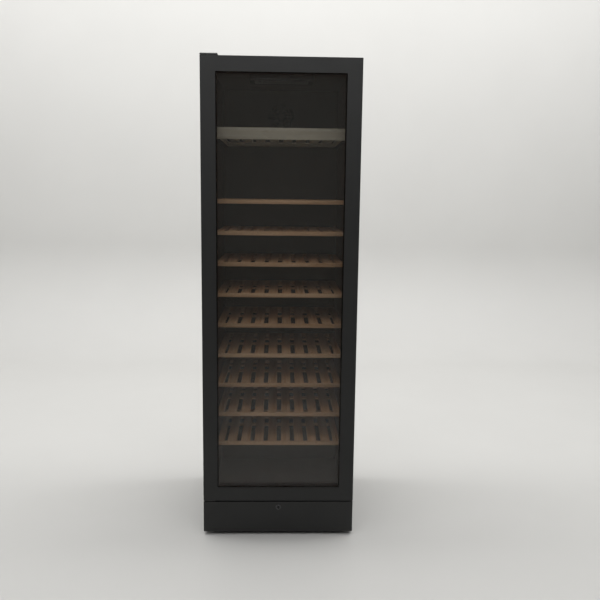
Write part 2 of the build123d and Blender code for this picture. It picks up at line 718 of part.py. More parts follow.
with BuildPart() as compressor:
    DOME_RADIUS = (CAN_RADIUS**2 + DOME**2) / (2 * DOME)
    DOME_MIDDLE = CAN_TOP - DOME_RADIUS + (DOME_RADIUS**2 - (CAN_RADIUS / 2) ** 2) ** 0.5
    with BuildSketch(Plane(origin=(*COMPRESSOR, 0), x_dir=(1, 0, 0), z_dir=(0, -1, 0))):
        with BuildLine():
            Polyline(
                (0, CAN_TOP),
                (0, CAN_BOTTOM),
                (CAN_RADIUS - 30, CAN_BOTTOM),
                (CAN_RADIUS, CAN_BOTTOM + 26),
                (CAN_RADIUS, SEAM[0]),
                (CAN_RADIUS + SEAM_REACH, SEAM[0]),
                (CAN_RADIUS + SEAM_REACH, SEAM[1]),
                (CAN_RADIUS, SEAM[1]),
                (CAN_RADIUS, CAN_TOP - DOME),
            )
            ThreePointArc(
                (CAN_RADIUS, CAN_TOP - DOME),
                (CAN_RADIUS / 2, DOME_MIDDLE),
                (0, CAN_TOP),
            )
        make_face()
    revolve(axis=Axis((*COMPRESSOR, 0), (0, 0, 1)))
    # Foot plate, pipe stubs, the can's seat and the terminal box
    slab((30, 210), (108, 236), FOOT_PLATE)
    rod(DISCHARGE_STUB, (-1, 0, 0), 4.5, STUB_LENGTH)
    rod(SUCTION_STUB, (-1, 0, 0), 5.5, STUB_LENGTH)
    rod((*COMPRESSOR, FOOT_PLATE[1] - 1), (0, 0, 1), 40.0, 6.0)
    slab((185, 212), (150, 194), (90, 150))
    for x, y in GROMMETS:
        rod((x, y, FOOT_PLATE[0]), (0, 0, 1), GROMMET_NECK, 3.0, mode=Mode.SUBTRACT)
save(compressor, "compressor")

with BuildPart() as compressor_grommets:
    GROMMET_TOP = FOOT_PLATE[1] + 4
    for x, y in GROMMETS:
        rod((x, y, PAN_TOP), (0, 0, 1), 11.0, FOOT_PLATE[0] - PAN_TOP)
        rod((x, y, FOOT_PLATE[0]), (0, 0, 1), GROMMET_NECK, FOOT_PLATE[1] - FOOT_PLATE[0])
        rod((x, y, FOOT_PLATE[1]), (0, 0, 1), 9.0, GROMMET_TOP - FOOT_PLATE[1])
        rod((x, y, PAN_TOP), (0, 0, 1), 3.0, GROMMET_TOP - PAN_TOP, mode=Mode.SUBTRACT)
save(compressor_grommets, "compressor_grommets")

with BuildPart() as condenser:
    # Thin plates threaded on a serpentine tube; the two outer plates stand on the base pan
    PLATES = 10
    PLATE_PITCH = 6.0
    PLATE_START = -274.0
    PLATE_Y = (90, 250)
    PLATE_TOP = 260.0
    ROWS = (130.0, 210.0)
    ROW_PITCH = 45.0
    LEVELS = [95.0 + ROW_PITCH * index for index in range(4)]
    COIL = 4.0
    COIL_BEND = 12.0
    COIL_LEFT = -290.0
    COIL_RIGHT = -204.0
    for index in range(PLATES):
        plate_x = PLATE_START + PLATE_PITCH * index
        plate_foot = PAN_TOP if index in (0, PLATES - 1) else 70
        slab((plate_x - FIN, plate_x + FIN), PLATE_Y, (plate_foot, PLATE_TOP))
    for y in ROWS:
        for z in LEVELS:
            rod((PLATE_START - 2, y, z), (1, 0, 0), COIL + 0.1, 58.0, mode=Mode.SUBTRACT)
    coil = [(COIL_RIGHT, ROWS[0], LEVELS[3])]
    for z, x in ((LEVELS[3], COIL_LEFT), (LEVELS[2], COIL_RIGHT), (LEVELS[1], COIL_LEFT)):
        coil += [(x, ROWS[0], z), (x, ROWS[0], z - ROW_PITCH)]
    coil += [(COIL_RIGHT, ROWS[0], LEVELS[0]), (COIL_RIGHT, ROWS[1], LEVELS[0])]
    for z, x in ((LEVELS[0], COIL_LEFT), (LEVELS[1], COIL_RIGHT), (LEVELS[2], COIL_LEFT)):
        coil += [(x, ROWS[1], z), (x, ROWS[1], z + ROW_PITCH)]
    coil += [(COIL_RIGHT, ROWS[1], LEVELS[3])]
    tube(coil, COIL_BEND, COIL)
save(condenser, "condenser")

with BuildPart() as condenser_fan_mount:
    # Plate with the fan's round opening, and two arms that carry the motor's bar
    FAN_X, FAN_Y, FAN_Z = CONDENSER_FAN
    SHROUD_X = (FAN_X - 33, FAN_X - 31)
    SHROUD_HALF = 95.0
    SHROUD_HOLE = 82.0
    MOTOR_X = FAN_X + 7
    BAR_X = (FAN_X + 24, FAN_X + 27)
    BAR_Z = (FAN_Z - 8, FAN_Z + 8)
    slab(SHROUD_X, (FAN_Y - SHROUD_HALF, FAN_Y + SHROUD_HALF), (PAN_TOP, 262))
    rod((SHROUD_X[0], FAN_Y, FAN_Z), (1, 0, 0), SHROUD_HOLE, 2.0, mode=Mode.SUBTRACT)
    slab(BAR_X, (FAN_Y - SHROUD_HALF, FAN_Y + SHROUD_HALF), BAR_Z)
    for end in (-1, 1):
        arm = (FAN_Y + end * (SHROUD_HALF - 4), FAN_Y + end * SHROUD_HALF)
        slab((SHROUD_X[0], BAR_X[1]), arm, BAR_Z)
    rod((MOTOR_X, FAN_Y, FAN_Z), (1, 0, 0), 22.0, 20.0)
    rod((MOTOR_X, FAN_Y, FAN_Z), (1, 0, 0), FAN_SHAFT + RUNNING, 17.0, mode=Mode.SUBTRACT)
save(condenser_fan_mount, "condenser_fan_mount")

save(axial_fan((FAN_X - 17, FAN_Y, FAN_Z), (1, 0, 0), 77.0, 24.0, 20.0, 14.0), "condenser_fan")

with BuildPart() as drip_tray:
    TRAY_X = (50.0, 190.0)
    TRAY_Y = (110.0, 234.0)
    TRAY_HEIGHT = 30.0
    TRAY_WALL = 2.5
    slab(TRAY_X, TRAY_Y, (CAN_TOP, CAN_TOP + TRAY_HEIGHT))
    slab(
        (TRAY_X[0] + TRAY_WALL, TRAY_X[1] - TRAY_WALL),
        (TRAY_Y[0] + TRAY_WALL, TRAY_Y[1] - TRAY_WALL),
        (CAN_TOP + 3, CAN_TOP + TRAY_HEIGHT),
        mode=Mode.SUBTRACT,
    )
    # Drain hose above the tray, from the foot of the cold side
    HOSE_START = (*COMPRESSOR, CAN_TOP + 10)
    HOSE_LENGTH = COMPARTMENT_ROOF - SHEET - HOSE_START[2]
    rod(HOSE_START, (0, 0, 1), 8.0, HOSE_LENGTH)
    rod(HOSE_START, (0, 0, 1), 6.0, HOSE_LENGTH, mode=Mode.SUBTRACT)
save(drip_tray, "drip_tray")

with BuildPart() as refrigerant_pipes:
    # Discharge pipe from the compressor to the condenser, suction pipe down from the
    # compartment's roof, and the liquid line with its filter drier
    PIPE_TOP = COMPARTMENT_ROOF - SHEET
    PIPE_FRONT = 69.0
    PIPE_LEFT = -196.0
    LIQUID_Z = 275.0
    discharge_x, discharge_y, discharge_z = DISCHARGE_STUB
    discharge = [
        (discharge_x - STUB_LENGTH, discharge_y, discharge_z),
        (20, discharge_y, discharge_z),
        (20, PIPE_FRONT, discharge_z),
        (PIPE_LEFT, PIPE_FRONT, discharge_z),
        (PIPE_LEFT, PIPE_FRONT, LEVELS[3]),
        (PIPE_LEFT, ROWS[0], LEVELS[3]),
        (COIL_RIGHT, ROWS[0], LEVELS[3]),
    ]
    tube(discharge, 7, 3.0)
    suction_x, suction_y, suction_z = SUCTION_STUB
    suction = [
        (suction_x - STUB_LENGTH, suction_y, suction_z),
        (14, suction_y, suction_z),
        (14, suction_y, PIPE_TOP),
    ]
    tube(suction, 14, 4.0)
    liquid = [
        (COIL_RIGHT, ROWS[1], LEVELS[3]),
        (PIPE_LEFT, ROWS[1], LEVELS[3]),
        (PIPE_LEFT, ROWS[1], LIQUID_Z),
        (-60, ROWS[1], LIQUID_Z),
        (-60, ROWS[1], PIPE_TOP),
    ]
    tube(liquid, 7, 1.5)
    rod((-150, ROWS[1], LIQUID_Z), (1, 0, 0), 9.0, 60.0)
save(refrigerant_pipes, "refrigerant_pipes")

with BuildPart() as electronics_box:
    slab((-120, 0), (BULKHEAD + SHEET, 100), (196, 286))
    fillet(electronics_box.edges().filter_by(Axis.Y), radius=4.0)
save(electronics_box, "electronics_box")

GLAND = (230.0, 80.0)
GLAND_NECK = 8.0
GLAND_FLANGE = (11.0, 3.0)  # radius and thickness
CORD_RADIUS = 3.6
GRILLE_SCREW = 2.0
GRILLE_SCREWS = [(x, z) for x in (-286.0, 0.0, 286.0) for z in (58.0, 288.0)]
LOUVRE_PITCH = 16.0
LOUVRE_WIDTH = 6.0

with BuildPart() as rear_grille:
    framed(SIDE_INSIDE - CLEAR, PAN_BOTTOM + 4, COMPARTMENT_ROOF - CLEAR, REAR_INSIDE, SHEET)
    with BuildSketch(upright(REAR_INSIDE)):
        with Locations((0, 205)):
            with GridLocations(LOUVRE_PITCH, 0, 31, 1):
                SlotOverall(120, LOUVRE_WIDTH, rotation=90)
        with Locations((-50, 100)):
            with GridLocations(LOUVRE_PITCH, 0, 24, 1):
                SlotOverall(50, LOUVRE_WIDTH, rotation=90)
    extrude(amount=-SHEET, mode=Mode.SUBTRACT)
    rod((GLAND[0], REAR_INSIDE, GLAND[1]), (0, 1, 0), GLAND_NECK, SHEET, mode=Mode.SUBTRACT)
    for x, z in GRILLE_SCREWS:
        rod((x, REAR_INSIDE, z), (0, 1, 0), GRILLE_SCREW, SHEET, mode=Mode.SUBTRACT)
save(rear_grille, "rear_grille")

with BuildPart() as cord_gland:
    # Nylon bush that the mains cord comes out of
    FLANGE_FACE = REAR_SHEET + GLAND_FLANGE[1]
    rod((GLAND[0], REAR_SHEET, GLAND[1]), (0, 1, 0), *GLAND_FLANGE)
    fillet(cord_gland.edges().group_by(Axis.Y)[-1], radius=1.0)
    rod((GLAND[0], REAR_SHEET, GLAND[1]), (0, -1, 0), GLAND_NECK, 9.0)
    rod((GLAND[0], FLANGE_FACE, GLAND[1]), (0, -1, 0), CORD_RADIUS, 12.0, mode=Mode.SUBTRACT)
save(cord_gland, "cord_gland")

with BuildPart() as screws:
    for x, z in GRILLE_SCREWS:
        screw((x, REAR_SHEET, z), (0, 1, 0), 4.0, GRILLE_SCREW, 8.0 if x else SHEET)
    for x, y in HINGE_SCREWS:
        screw((x, y, ARM_TOP), (0, 0, 1), 5.0, HINGE_SCREW, ARM_TOP - TOP_INSIDE)
    for x, z in BRACKET_SCREWS:
        screw((x, CABINET_FRONT - PLATE, z), (0, -1, 0), 4.5, BRACKET_SCREW, 12.0)
save(screws, "screws")

with BuildPart() as rivets:
    for x in RIVET_XS:
        for z in RIVET_ZS:
            rod((x, REAR_SHEET, z), (0, 1, 0), RIVET_HEAD, RIVET_HEIGHT)
            rod((x, REAR_SHEET, z), (0, -1, 0), RIVET, SHEET)
save(rivets, "rivets")

with BuildPart() as rear_spacers:
    for x, z in SPACERS:
        with BuildSketch(upright(REAR_SHEET)):
            with Locations((x, z)):
                Circle(SPACER_RADIUS)
        extrude(amount=-(BACK - REAR_SHEET), taper=12)
save(rear_spacers, "rear_spacers")

# ---- Door ----

with BuildPart() as door_skin:
    # Painted steel tray: front face and four edges, with the opening cut in its face
    framed(HALF, DOOR_BOTTOM, DOOR_TOP, FRONT, DOOR_THICKNESS)
    fillet(door_skin.edges().filter_by(Axis.Y), radius=2.0)
    fillet(door_skin.edges().group_by(Axis.Y)[0], radius=1.0)
    framed(
        HALF - SKIN,
        DOOR_BOTTOM + SKIN,
        DOOR_TOP - SKIN,
        FRONT + SKIN,
        DOOR_THICKNESS,
        mode=Mode.SUBTRACT,
    )
    framed(OPENING_HALF, OPENING_BOTTOM, OPENING_TOP, FRONT, SKIN, mode=Mode.SUBTRACT)
    for z in (DOOR_BOTTOM, DOOR_TOP - SKIN):
        rod((PIN_X, PIN_Y, z), (0, 0, 1), BUSH_RADIUS, SKIN, mode=Mode.SUBTRACT)
    CAM_SLOT_X = (-40, 10)
    CAM_SLOT_Y = (CAM_FRONT - 3, CAM_FRONT + 5.5)
    slab(CAM_SLOT_X, CAM_SLOT_Y, (DOOR_BOTTOM, DOOR_BOTTOM + SKIN), mode=Mode.SUBTRACT)
save(door_skin, "door_skin")

with BuildPart() as door_core:
    # Four foam bars that fill the frame around the glass
    INNER_HALF = HALF - SKIN
    INNER_BOTTOM = DOOR_BOTTOM + SKIN
    INNER_TOP = DOOR_TOP - SKIN
    core_y = (GLASS_FRONT, UNIT_BACK)
    for side in (-1, 1):
        stile = (side * (PANE_HALF + CLEAR), side * INNER_HALF)
        slab(stile, core_y, (INNER_BOTTOM, INNER_TOP))
    slab((-PANE_HALF, PANE_HALF), core_y, (INNER_BOTTOM, PANE_BOTTOM - CLEAR))
    slab((-PANE_HALF, PANE_HALF), core_y, (PANE_TOP + CLEAR, INNER_TOP))
    rod((PIN_X, PIN_Y, DOOR_BOTTOM), (0, 0, 1), BUSH_RADIUS, BUSH_LENGTH, mode=Mode.SUBTRACT)
    rod((PIN_X, PIN_Y, DOOR_TOP), (0, 0, -1), BUSH_RADIUS, BUSH_LENGTH, mode=Mode.SUBTRACT)
    # Room for the lock's cam, and a pocket for the keeper round it
    KEEPER_X = (-50, 20)
    KEEPER_Y = (CAM_FRONT - 9, CAM_FRONT + 9)
    KEEPER_Z = (INNER_BOTTOM, INNER_BOTTOM + 2)
    slab(CAM_SLOT_X, CAM_SLOT_Y, (DOOR_BOTTOM, DOOR_BOTTOM + 20), mode=Mode.SUBTRACT)
    slab(KEEPER_X, KEEPER_Y, KEEPER_Z, mode=Mode.SUBTRACT)
save(door_core, "door_core")

with BuildPart() as lock_keeper:
    slab(KEEPER_X, KEEPER_Y, KEEPER_Z)
    slab(CAM_SLOT_X, CAM_SLOT_Y, KEEPER_Z, mode=Mode.SUBTRACT)
save(lock_keeper, "lock_keeper")

with BuildPart() as outer_glass:
    framed(PANE_HALF, PANE_BOTTOM, PANE_TOP, GLASS_FRONT, PANE)
save(outer_glass, "outer_glass")

with BuildPart() as inner_glass:
    framed(PANE_HALF, PANE_BOTTOM, PANE_TOP, INNER_PANE, PANE)
save(inner_glass, "inner_glass")

with BuildPart() as glass_spacer:
    # Bar between the panes; its inner edge shows as a dark line all round the glass
    framed(
        PANE_HALF - 1,
        PANE_BOTTOM + 1,
        PANE_TOP - 1,
        GLASS_FRONT + PANE,
        PANE_GAP,
    )
    framed(
        OPENING_HALF - SPACER_SHOW,
        OPENING_BOTTOM + SPACER_SHOW,
        OPENING_TOP - SPACER_SHOW,
        GLASS_FRONT + PANE,
        PANE_GAP,
        mode=Mode.SUBTRACT,
    )
save(glass_spacer, "glass_spacer")

with BuildPart() as door_inner_frame:
    # Plastic frame behind the glass, with the groove that the gasket's foot is pressed into
    framed(INNER_HALF, INNER_BOTTOM, INNER_TOP, UNIT_BACK, DOOR_BACK - UNIT_BACK)
    framed(
        OPENING_HALF,
        OPENING_BOTTOM,
        OPENING_TOP,
        UNIT_BACK,
        DOOR_BACK - UNIT_BACK,
        mode=Mode.SUBTRACT,
    )
    GROOVE = 5.0
    GROOVE_INSET = (5.0, 9.0)  # outer and inner edge of the groove, from the gasket's edge
    groove_sizes = [
        (2 * (GASKET_HALF - inset), GASKET_TOP - GASKET_BOTTOM - 2 * inset)
        for inset in GROOVE_INSET
    ]
    with BuildSketch(upright(DOOR_BACK - GROOVE)):
        with Locations((0, (GASKET_TOP + GASKET_BOTTOM) / 2)):
            Rectangle(*groove_sizes[0])
            Rectangle(*groove_sizes[1], mode=Mode.SUBTRACT)
    extrude(amount=-GROOVE, mode=Mode.SUBTRACT)
save(door_inner_frame, "door_inner_frame")


def gasket_ring(inset, width, y, depth):
    """One step of the gasket: a rounded rectangular ring, inset from the gasket's outer edge."""
    across = 2 * (GASKET_HALF - inset)
    height = GASKET_TOP - GASKET_BOTTOM - 2 * inset
    with BuildSketch(upright(y)) as ring:
        with Locations((0, (GASKET_TOP + GASKET_BOTTOM) / 2)):
            Rectangle(across, height)
            Rectangle(across - 2 * width, height - 2 * width, mode=Mode.SUBTRACT)
    extrude(ring.sketch, amount=-depth)


with BuildPart() as door_gasket:
    # Foot in the groove, bellows, and the head with the magnet, which meets the cabinet
    gasket_ring(5.2, 3.6, DOOR_BACK - GROOVE + CLEAR, GROOVE - CLEAR)
    gasket_ring(1.5, GASKET_WIDTH - 3, DOOR_BACK, 2.0)
    gasket_ring(3.0, GASKET_WIDTH - 6, DOOR_BACK + 2.0, 1.5)
    gasket_ring(0.0, GASKET_WIDTH, DOOR_BACK + 3.5, SEAL_GAP - 3.8)
save(door_gasket, "door_gasket")

with BuildPart() as hinge_bushes:
    for z, way in ((DOOR_BOTTOM, 1), (DOOR_TOP, -1)):
        rod((PIN_X, PIN_Y, z), (0, 0, way), BUSH_RADIUS, BUSH_LENGTH)
        rod((PIN_X, PIN_Y, z), (0, 0, -way), BUSH_RADIUS + 2, BUSH_FLANGE)
        rod(
            (PIN_X, PIN_Y, z - way * BUSH_FLANGE),
            (0, 0, way),
            PIN_RADIUS + RUNNING,
            BUSH_LENGTH + BUSH_FLANGE,
            mode=Mode.SUBTRACT,
        )
save(hinge_bushes, "hinge_bushes")

# ---- Lock ----

with BuildPart() as lock_housing:
    rod((0, FRONT, LOCK_Z), (0, 1, 0), LOCK_FACE, PLINTH_FRONT - FRONT)
    fillet(lock_housing.edges().group_by(Axis.Y)[0], radius=0.6)
    rod((0, PLINTH_FRONT, LOCK_Z), (0, 1, 0), LOCK_BODY, CAM_FRONT - 1 - PLINTH_FRONT)
    # The nut that holds it from behind is a separate ring with six flats.
    with BuildSketch(upright(PLINTH_FRONT + PLINTH_SKIN + 0.1)):
        with Locations((0, LOCK_Z)):
            RegularPolygon(NUT, 6)
            Circle(LOCK_BODY + 0.1, mode=Mode.SUBTRACT)
    extrude(amount=-4)
    rod((0, FRONT, LOCK_Z), (0, 1, 0), BARREL + RUNNING, 20.0, mode=Mode.SUBTRACT)
save(lock_housing, "lock_housing")

with BuildPart() as lock_barrel:
    rod((0, FRONT + 0.4, LOCK_Z), (0, 1, 0), BARREL, CAM_FRONT - FRONT - 0.4)
    slab((-TANG, TANG), (CAM_FRONT, CAM_FRONT + CAM_THICKNESS), (LOCK_Z - TANG, LOCK_Z + TANG))
    rod((0, CAM_FRONT + CAM_THICKNESS, LOCK_Z), (0, 1, 0), 6.0, 3.0)
    slab(
        (-KEYWAY[0] / 2, KEYWAY[0] / 2),
        (FRONT, FRONT + KEYWAY[2]),
        (LOCK_Z - KEYWAY[1] / 2, LOCK_Z + KEYWAY[1] / 2),
        mode=Mode.SUBTRACT,
    )
save(lock_barrel, "lock_barrel")

with BuildPart() as lock_cam:
    # Flat lever, lying to the left when unlocked
    slab(
        (-CAM_REACH, CAM_HALF + 1),
        (CAM_FRONT, CAM_FRONT + CAM_THICKNESS),
        (LOCK_Z - CAM_HALF, LOCK_Z + CAM_HALF),
    )
    fillet(lock_cam.edges().filter_by(Axis.Y), radius=CAM_ROUND)
    slab(
        (-TANG, TANG),
        (CAM_FRONT, CAM_FRONT + CAM_THICKNESS),
        (LOCK_Z - TANG, LOCK_Z + TANG),
        mode=Mode.SUBTRACT,
    )
save(lock_cam, "lock_cam")
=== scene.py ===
"""A tall free-standing wine cooler: finishes, shelves, seal, fans, feet, rollers and a plain stage."""

import json
import math

import bmesh
import bpy
import numpy as np
from bpy.props import FloatProperty, FloatVectorProperty, IntProperty, PointerProperty
from mathutils import Matrix, Vector


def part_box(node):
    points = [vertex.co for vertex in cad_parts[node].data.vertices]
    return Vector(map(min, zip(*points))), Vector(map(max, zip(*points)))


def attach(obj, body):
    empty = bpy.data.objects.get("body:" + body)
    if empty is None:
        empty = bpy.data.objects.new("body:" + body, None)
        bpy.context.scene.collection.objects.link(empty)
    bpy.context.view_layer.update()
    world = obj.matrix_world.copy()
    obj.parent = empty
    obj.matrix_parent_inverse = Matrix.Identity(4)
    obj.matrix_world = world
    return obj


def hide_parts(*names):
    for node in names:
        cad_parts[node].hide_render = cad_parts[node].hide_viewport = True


bl_info = {
    "name": "Wine Cooler",
    "version": (1, 0, 0),
    "blender": (4, 5, 0),
    "location": "View3D > Sidebar > Cooler",
    "description": "Finishes and fine pieces for a glass-doored wine cooler",
    "category": "Object",
}

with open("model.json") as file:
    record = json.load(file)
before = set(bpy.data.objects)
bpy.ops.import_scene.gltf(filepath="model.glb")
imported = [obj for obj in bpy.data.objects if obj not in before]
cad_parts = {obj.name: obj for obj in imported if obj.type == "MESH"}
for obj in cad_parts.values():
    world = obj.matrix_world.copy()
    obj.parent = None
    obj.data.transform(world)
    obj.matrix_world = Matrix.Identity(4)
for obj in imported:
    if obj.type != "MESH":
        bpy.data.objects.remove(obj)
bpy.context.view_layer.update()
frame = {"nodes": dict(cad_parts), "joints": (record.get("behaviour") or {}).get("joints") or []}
MM = 0.001
SHELVES = ["display_shelf"] + [f"wine_shelf_{number}" for number in range(1, 10)]

# Glass: the share of the light that a coated pane mirrors, and the roughness of its polish
PANE_MIRROR = 0.012
PANE_POLISH = 0.02
CLEAR_COVER = 0.12  # what the clear inner pane holds back

# Shelves
GLUE_LINE = 0.1 * MM
BATTEN = 30 * MM  # front to back
FRONT_BATTEN = 250 * MM  # from the shelf's front to the middle of the first batten
BACK_BATTEN = 70 * MM  # from the shelf's back to the middle of the second batten
GRAIN_SEED = 40

# Fans: the blades' angle to the plane of the fan, in degrees
BLADE_ANGLE_HUB = 46.0
BLADE_ANGLE_TIP = 24.0

# Levelling feet
PAD_TOP = 8 * MM
COLLAR_TOP = 14 * MM
STEM_RADIUS = 5 * MM
THREAD_DEPTH = 0.6 * MM

# Stage, in metres
SWEEP_BEND = 0.9  # radius of the rise from floor to wall
WALL_AT = 3.4
WALL_TOP = 9.0
FLOOR_FRONT = -14.0
FLOOR_HALF = 14
FLOOR_COLUMNS = 9
SENSOR = 36.0  # millimetres
# Lamps: name, place, what it is aimed at, width, height, watts
LAMPS = (
    ("ceiling_lamp", (0.0, -1.4, 4.2), (0.0, 0.2, 0.6), 4.0, 3.0, 44.0),
    ("front_lamp", (0.0, -2.3, 2.8), (0.0, -0.2, 1.3), 2.6, 0.9, 20.0),
    ("left_lamp", (-3.2, -2.2, 2.4), (0.0, 0.0, 1.2), 2.0, 2.4, 15.0),
    ("right_lamp", (3.2, -2.2, 2.4), (0.0, 0.0, 1.2), 2.0, 2.4, 12.0),
    ("back_lamp", (0.0, 0.5, 5.2), (0.0, 3.4, 1.5), 11.0, 1.8, 470.0),
)
SKY_STRENGTH = 0.16


# ---- Colours and nodes ----


def linear(colour):
    """Linear RGBA of an sRGB hex colour: c/12.92 below 0.04045, else ((c + 0.055)/1.055)^2.4."""
    shares = [int(colour[i : i + 2], 16) / 255 for i in (1, 3, 5)]
    return tuple(c / 12.92 if c <= 0.04045 else ((c + 0.055) / 1.055) ** 2.4 for c in shares) + (1.0,)


def add(tree, kind, inputs=None, **settings):
    """Add one node. inputs maps a socket's name or number to a value or to a socket to link."""
    made = tree.nodes.new(kind)
    for name, value in settings.items():
        setattr(made, name, value)
    for socket, value in (inputs or {}).items():
        if isinstance(value, bpy.types.NodeSocket):
            tree.links.new(value, made.inputs[socket])
        else:
            made.inputs[socket].default_value = value
    return made


def begin(name):
    """A new material with an empty node tree; gives the material and its tree."""
    material = bpy.data.materials.new(name)
    material.use_nodes = True
    material.node_tree.nodes.clear()
    return material, material.node_tree


def end(tree, shader):
    """Connect the shader to the material's output."""
    add(tree, "ShaderNodeOutputMaterial", {"Surface": shader.outputs["BSDF"]})


def mottle(tree, place, scale, low, high, detail=3.0, rough=0.55):
    """A number that wanders between low and high, as a soft noise of the given scale per metre."""
    noise = add(
        tree,
        "ShaderNodeTexNoise",
        {"Vector": place, "Scale": scale, "Detail": detail, "Roughness": rough},
    )
    return add(
        tree,
        "ShaderNodeMapRange",
        {"Value": noise.outputs["Fac"], "From Min": 0.3, "From Max": 0.7, "To Min": low, "To Max": high},
    ).outputs["Result"]


def blend_colours(tree, share, first, second):
    """A colour between first and second, by share."""
    mix = add(tree, "ShaderNodeMix", {"Factor": share}, data_type="RGBA")
    for socket, value in ((6, first), (7, second)):
        if isinstance(value, bpy.types.NodeSocket):
            tree.links.new(value, mix.inputs[socket])
        else:
            mix.inputs[socket].default_value = value
    return mix.outputs[2]


# ---- Materials ----


def powder_coated_steel(colour):
    """Powder-coated steel sheet, baked: near-black, satin, with a faint orange peel.

    The peel of the real coat is 1 to 2 mm wide. It is drawn 6 mm wide, because finer than
    that it would not show. Broad soft smudges change the gloss by a few percent, as handling does.
    """
    material, tree = begin("powder_coated_steel")
    place = add(tree, "ShaderNodeTexCoord").outputs["Object"]
    smudge = mottle(tree, place, 1 / 0.22, 0.0, 1.0, detail=4.0)
    tint = blend_colours(tree, smudge, colour, tuple(c * 1.22 for c in colour[:3]) + (1.0,))
    gloss = mottle(tree, place, 1 / 0.16, 0.50, 0.60)
    peel = add(tree, "ShaderNodeTexNoise", {"Vector": place, "Scale": 1 / 0.006, "Detail": 1.0})
    bump = add(
        tree,
        "ShaderNodeBump",
        {"Height": peel.outputs["Fac"], "Strength": 0.10, "Distance": 0.4 * MM},
    )
    shader = add(
        tree,
        "ShaderNodeBsdfPrincipled",
        {"Base Color": tint, "Roughness": gloss, "Normal": bump.outputs["Normal"], "IOR": 1.5},
    )
    end(tree, shader)
    return material


def tinted_float_glass(name, colour, cover):
    """Float glass, toughened: flat and mirror-smooth. The outer pane is tinted dark in the melt; the warm
    brown hue of its colour is painted reflection, a faint brown glow over what lies behind.

    Its share of cover is what the tint holds back; faint wipe marks dull the polish by a hair.
    Its coating lets a pane mirror only 1.2 percent of the light. The cover thins its mirror too, so
    the IOR stands above the 1.5 of real glass by as much as brings that share back.
    """
    material, tree = begin(name)
    place = add(tree, "ShaderNodeTexCoord").outputs["Object"]
    stretched = add(tree, "ShaderNodeMapping", {"Vector": place, "Scale": (1.0, 1.0, 0.35)})
    wipes = mottle(
        tree, stretched.outputs["Vector"], 1 / 0.09, PANE_POLISH, PANE_POLISH + 0.02, detail=5.0
    )
    face = math.sqrt(PANE_MIRROR / cover)
    ior = (1 + face) / (1 - face)
    shader = add(
        tree,
        "ShaderNodeBsdfPrincipled",
        {"Base Color": colour, "Roughness": wipes, "IOR": ior, "Alpha": cover},
    )
    end(tree, shader)
    return material


def planed_beech(name, light, dark):
    """Steamed beech, planed and unvarnished: warm, matt, fine straight grain along each board.

    The flecks of beech are 0.3 mm wide; they are drawn as streaks 4 mm wide so that they show.
    The pattern follows each board, through the piece's own grain attribute, in metres.
    """
    material, tree = begin(name)
    grain = add(tree, "ShaderNodeAttribute", attribute_name="grain").outputs["Vector"]
    tone = add(tree, "ShaderNodeAttribute", attribute_name="tone").outputs["Fac"]
    along = add(tree, "ShaderNodeMapping", {"Vector": grain, "Scale": (5.0, 1 / 0.004, 1 / 0.004)})
    streaks = add(
        tree,
        "ShaderNodeTexNoise",
        {"Vector": along.outputs["Vector"], "Scale": 1.0, "Detail": 4.0, "Roughness": 0.6, "Distortion": 0.4},
    )
    rings = add(tree, "ShaderNodeMapping", {"Vector": grain, "Scale": (1.2, 1 / 0.02, 1 / 0.03)})
    bands = add(
        tree,
        "ShaderNodeTexNoise",
        {"Vector": rings.outputs["Vector"], "Scale": 1.0, "Detail": 2.0, "Distortion": 1.2},
    )
    figure = add(
        tree,
        "ShaderNodeMath",
        {0: streaks.outputs["Fac"], 1: bands.outputs["Fac"]},
        operation="ADD",
    )
    share = add(
        tree,
        "ShaderNodeMapRange",
        {"Value": figure.outputs["Value"], "From Min": 0.75, "From Max": 1.25},
    )
    wood = blend_colours(tree, share.outputs["Result"], light, dark)
    worn = add(tree, "ShaderNodeHueSaturation", {"Value": tone, "Color": wood})
    bump = add(
        tree,
        "ShaderNodeBump",
        {"Height": streaks.outputs["Fac"], "Strength": 0.25, "Distance": 0.3 * MM},
    )
    shader = add(
        tree,
        "ShaderNodeBsdfPrincipled",
        {
            "Base Color": worn.outputs["Color"],
            "Roughness": 0.62,
            "IOR": 1.45,
            "Normal": bump.outputs["Normal"],
        },
    )
    end(tree, shader)
    return material


def formed_plastic(name, colour, gloss, grit):
    """Vacuum-formed or moulded plastic: even colour, with a fine spark-eroded grain.

    grit is the width of that grain in millimetres, drawn no finer than 3 mm so that it shows.
    """
    material, tree = begin(name)
    place = add(tree, "ShaderNodeTexCoord").outputs["Object"]
    cloud = mottle(tree, place, 1 / 0.12, 0.0, 1.0)
    tint = blend_colours(tree, cloud, colour, tuple(c * 1.3 + 0.001 for c in colour[:3]) + (1.0,))
    grain = add(
        tree,
        "ShaderNodeTexNoise",
        {"Vector": place, "Scale": 1 / (max(grit, 3.0) * MM), "Detail": 2.0},
    )
    bump = add(
        tree,
        "ShaderNodeBump",
        {"Height": grain.outputs["Fac"], "Strength": 0.2, "Distance": 0.3 * MM},
    )
    shader = add(
        tree,
        "ShaderNodeBsdfPrincipled",
        {
            "Base Color": tint,
            "Roughness": mottle(tree, place, 1 / 0.05, gloss - 0.04, gloss + 0.05),
            "IOR": 1.5,
            "Normal": bump.outputs["Normal"],
        },
    )
    end(tree, shader)
    return material


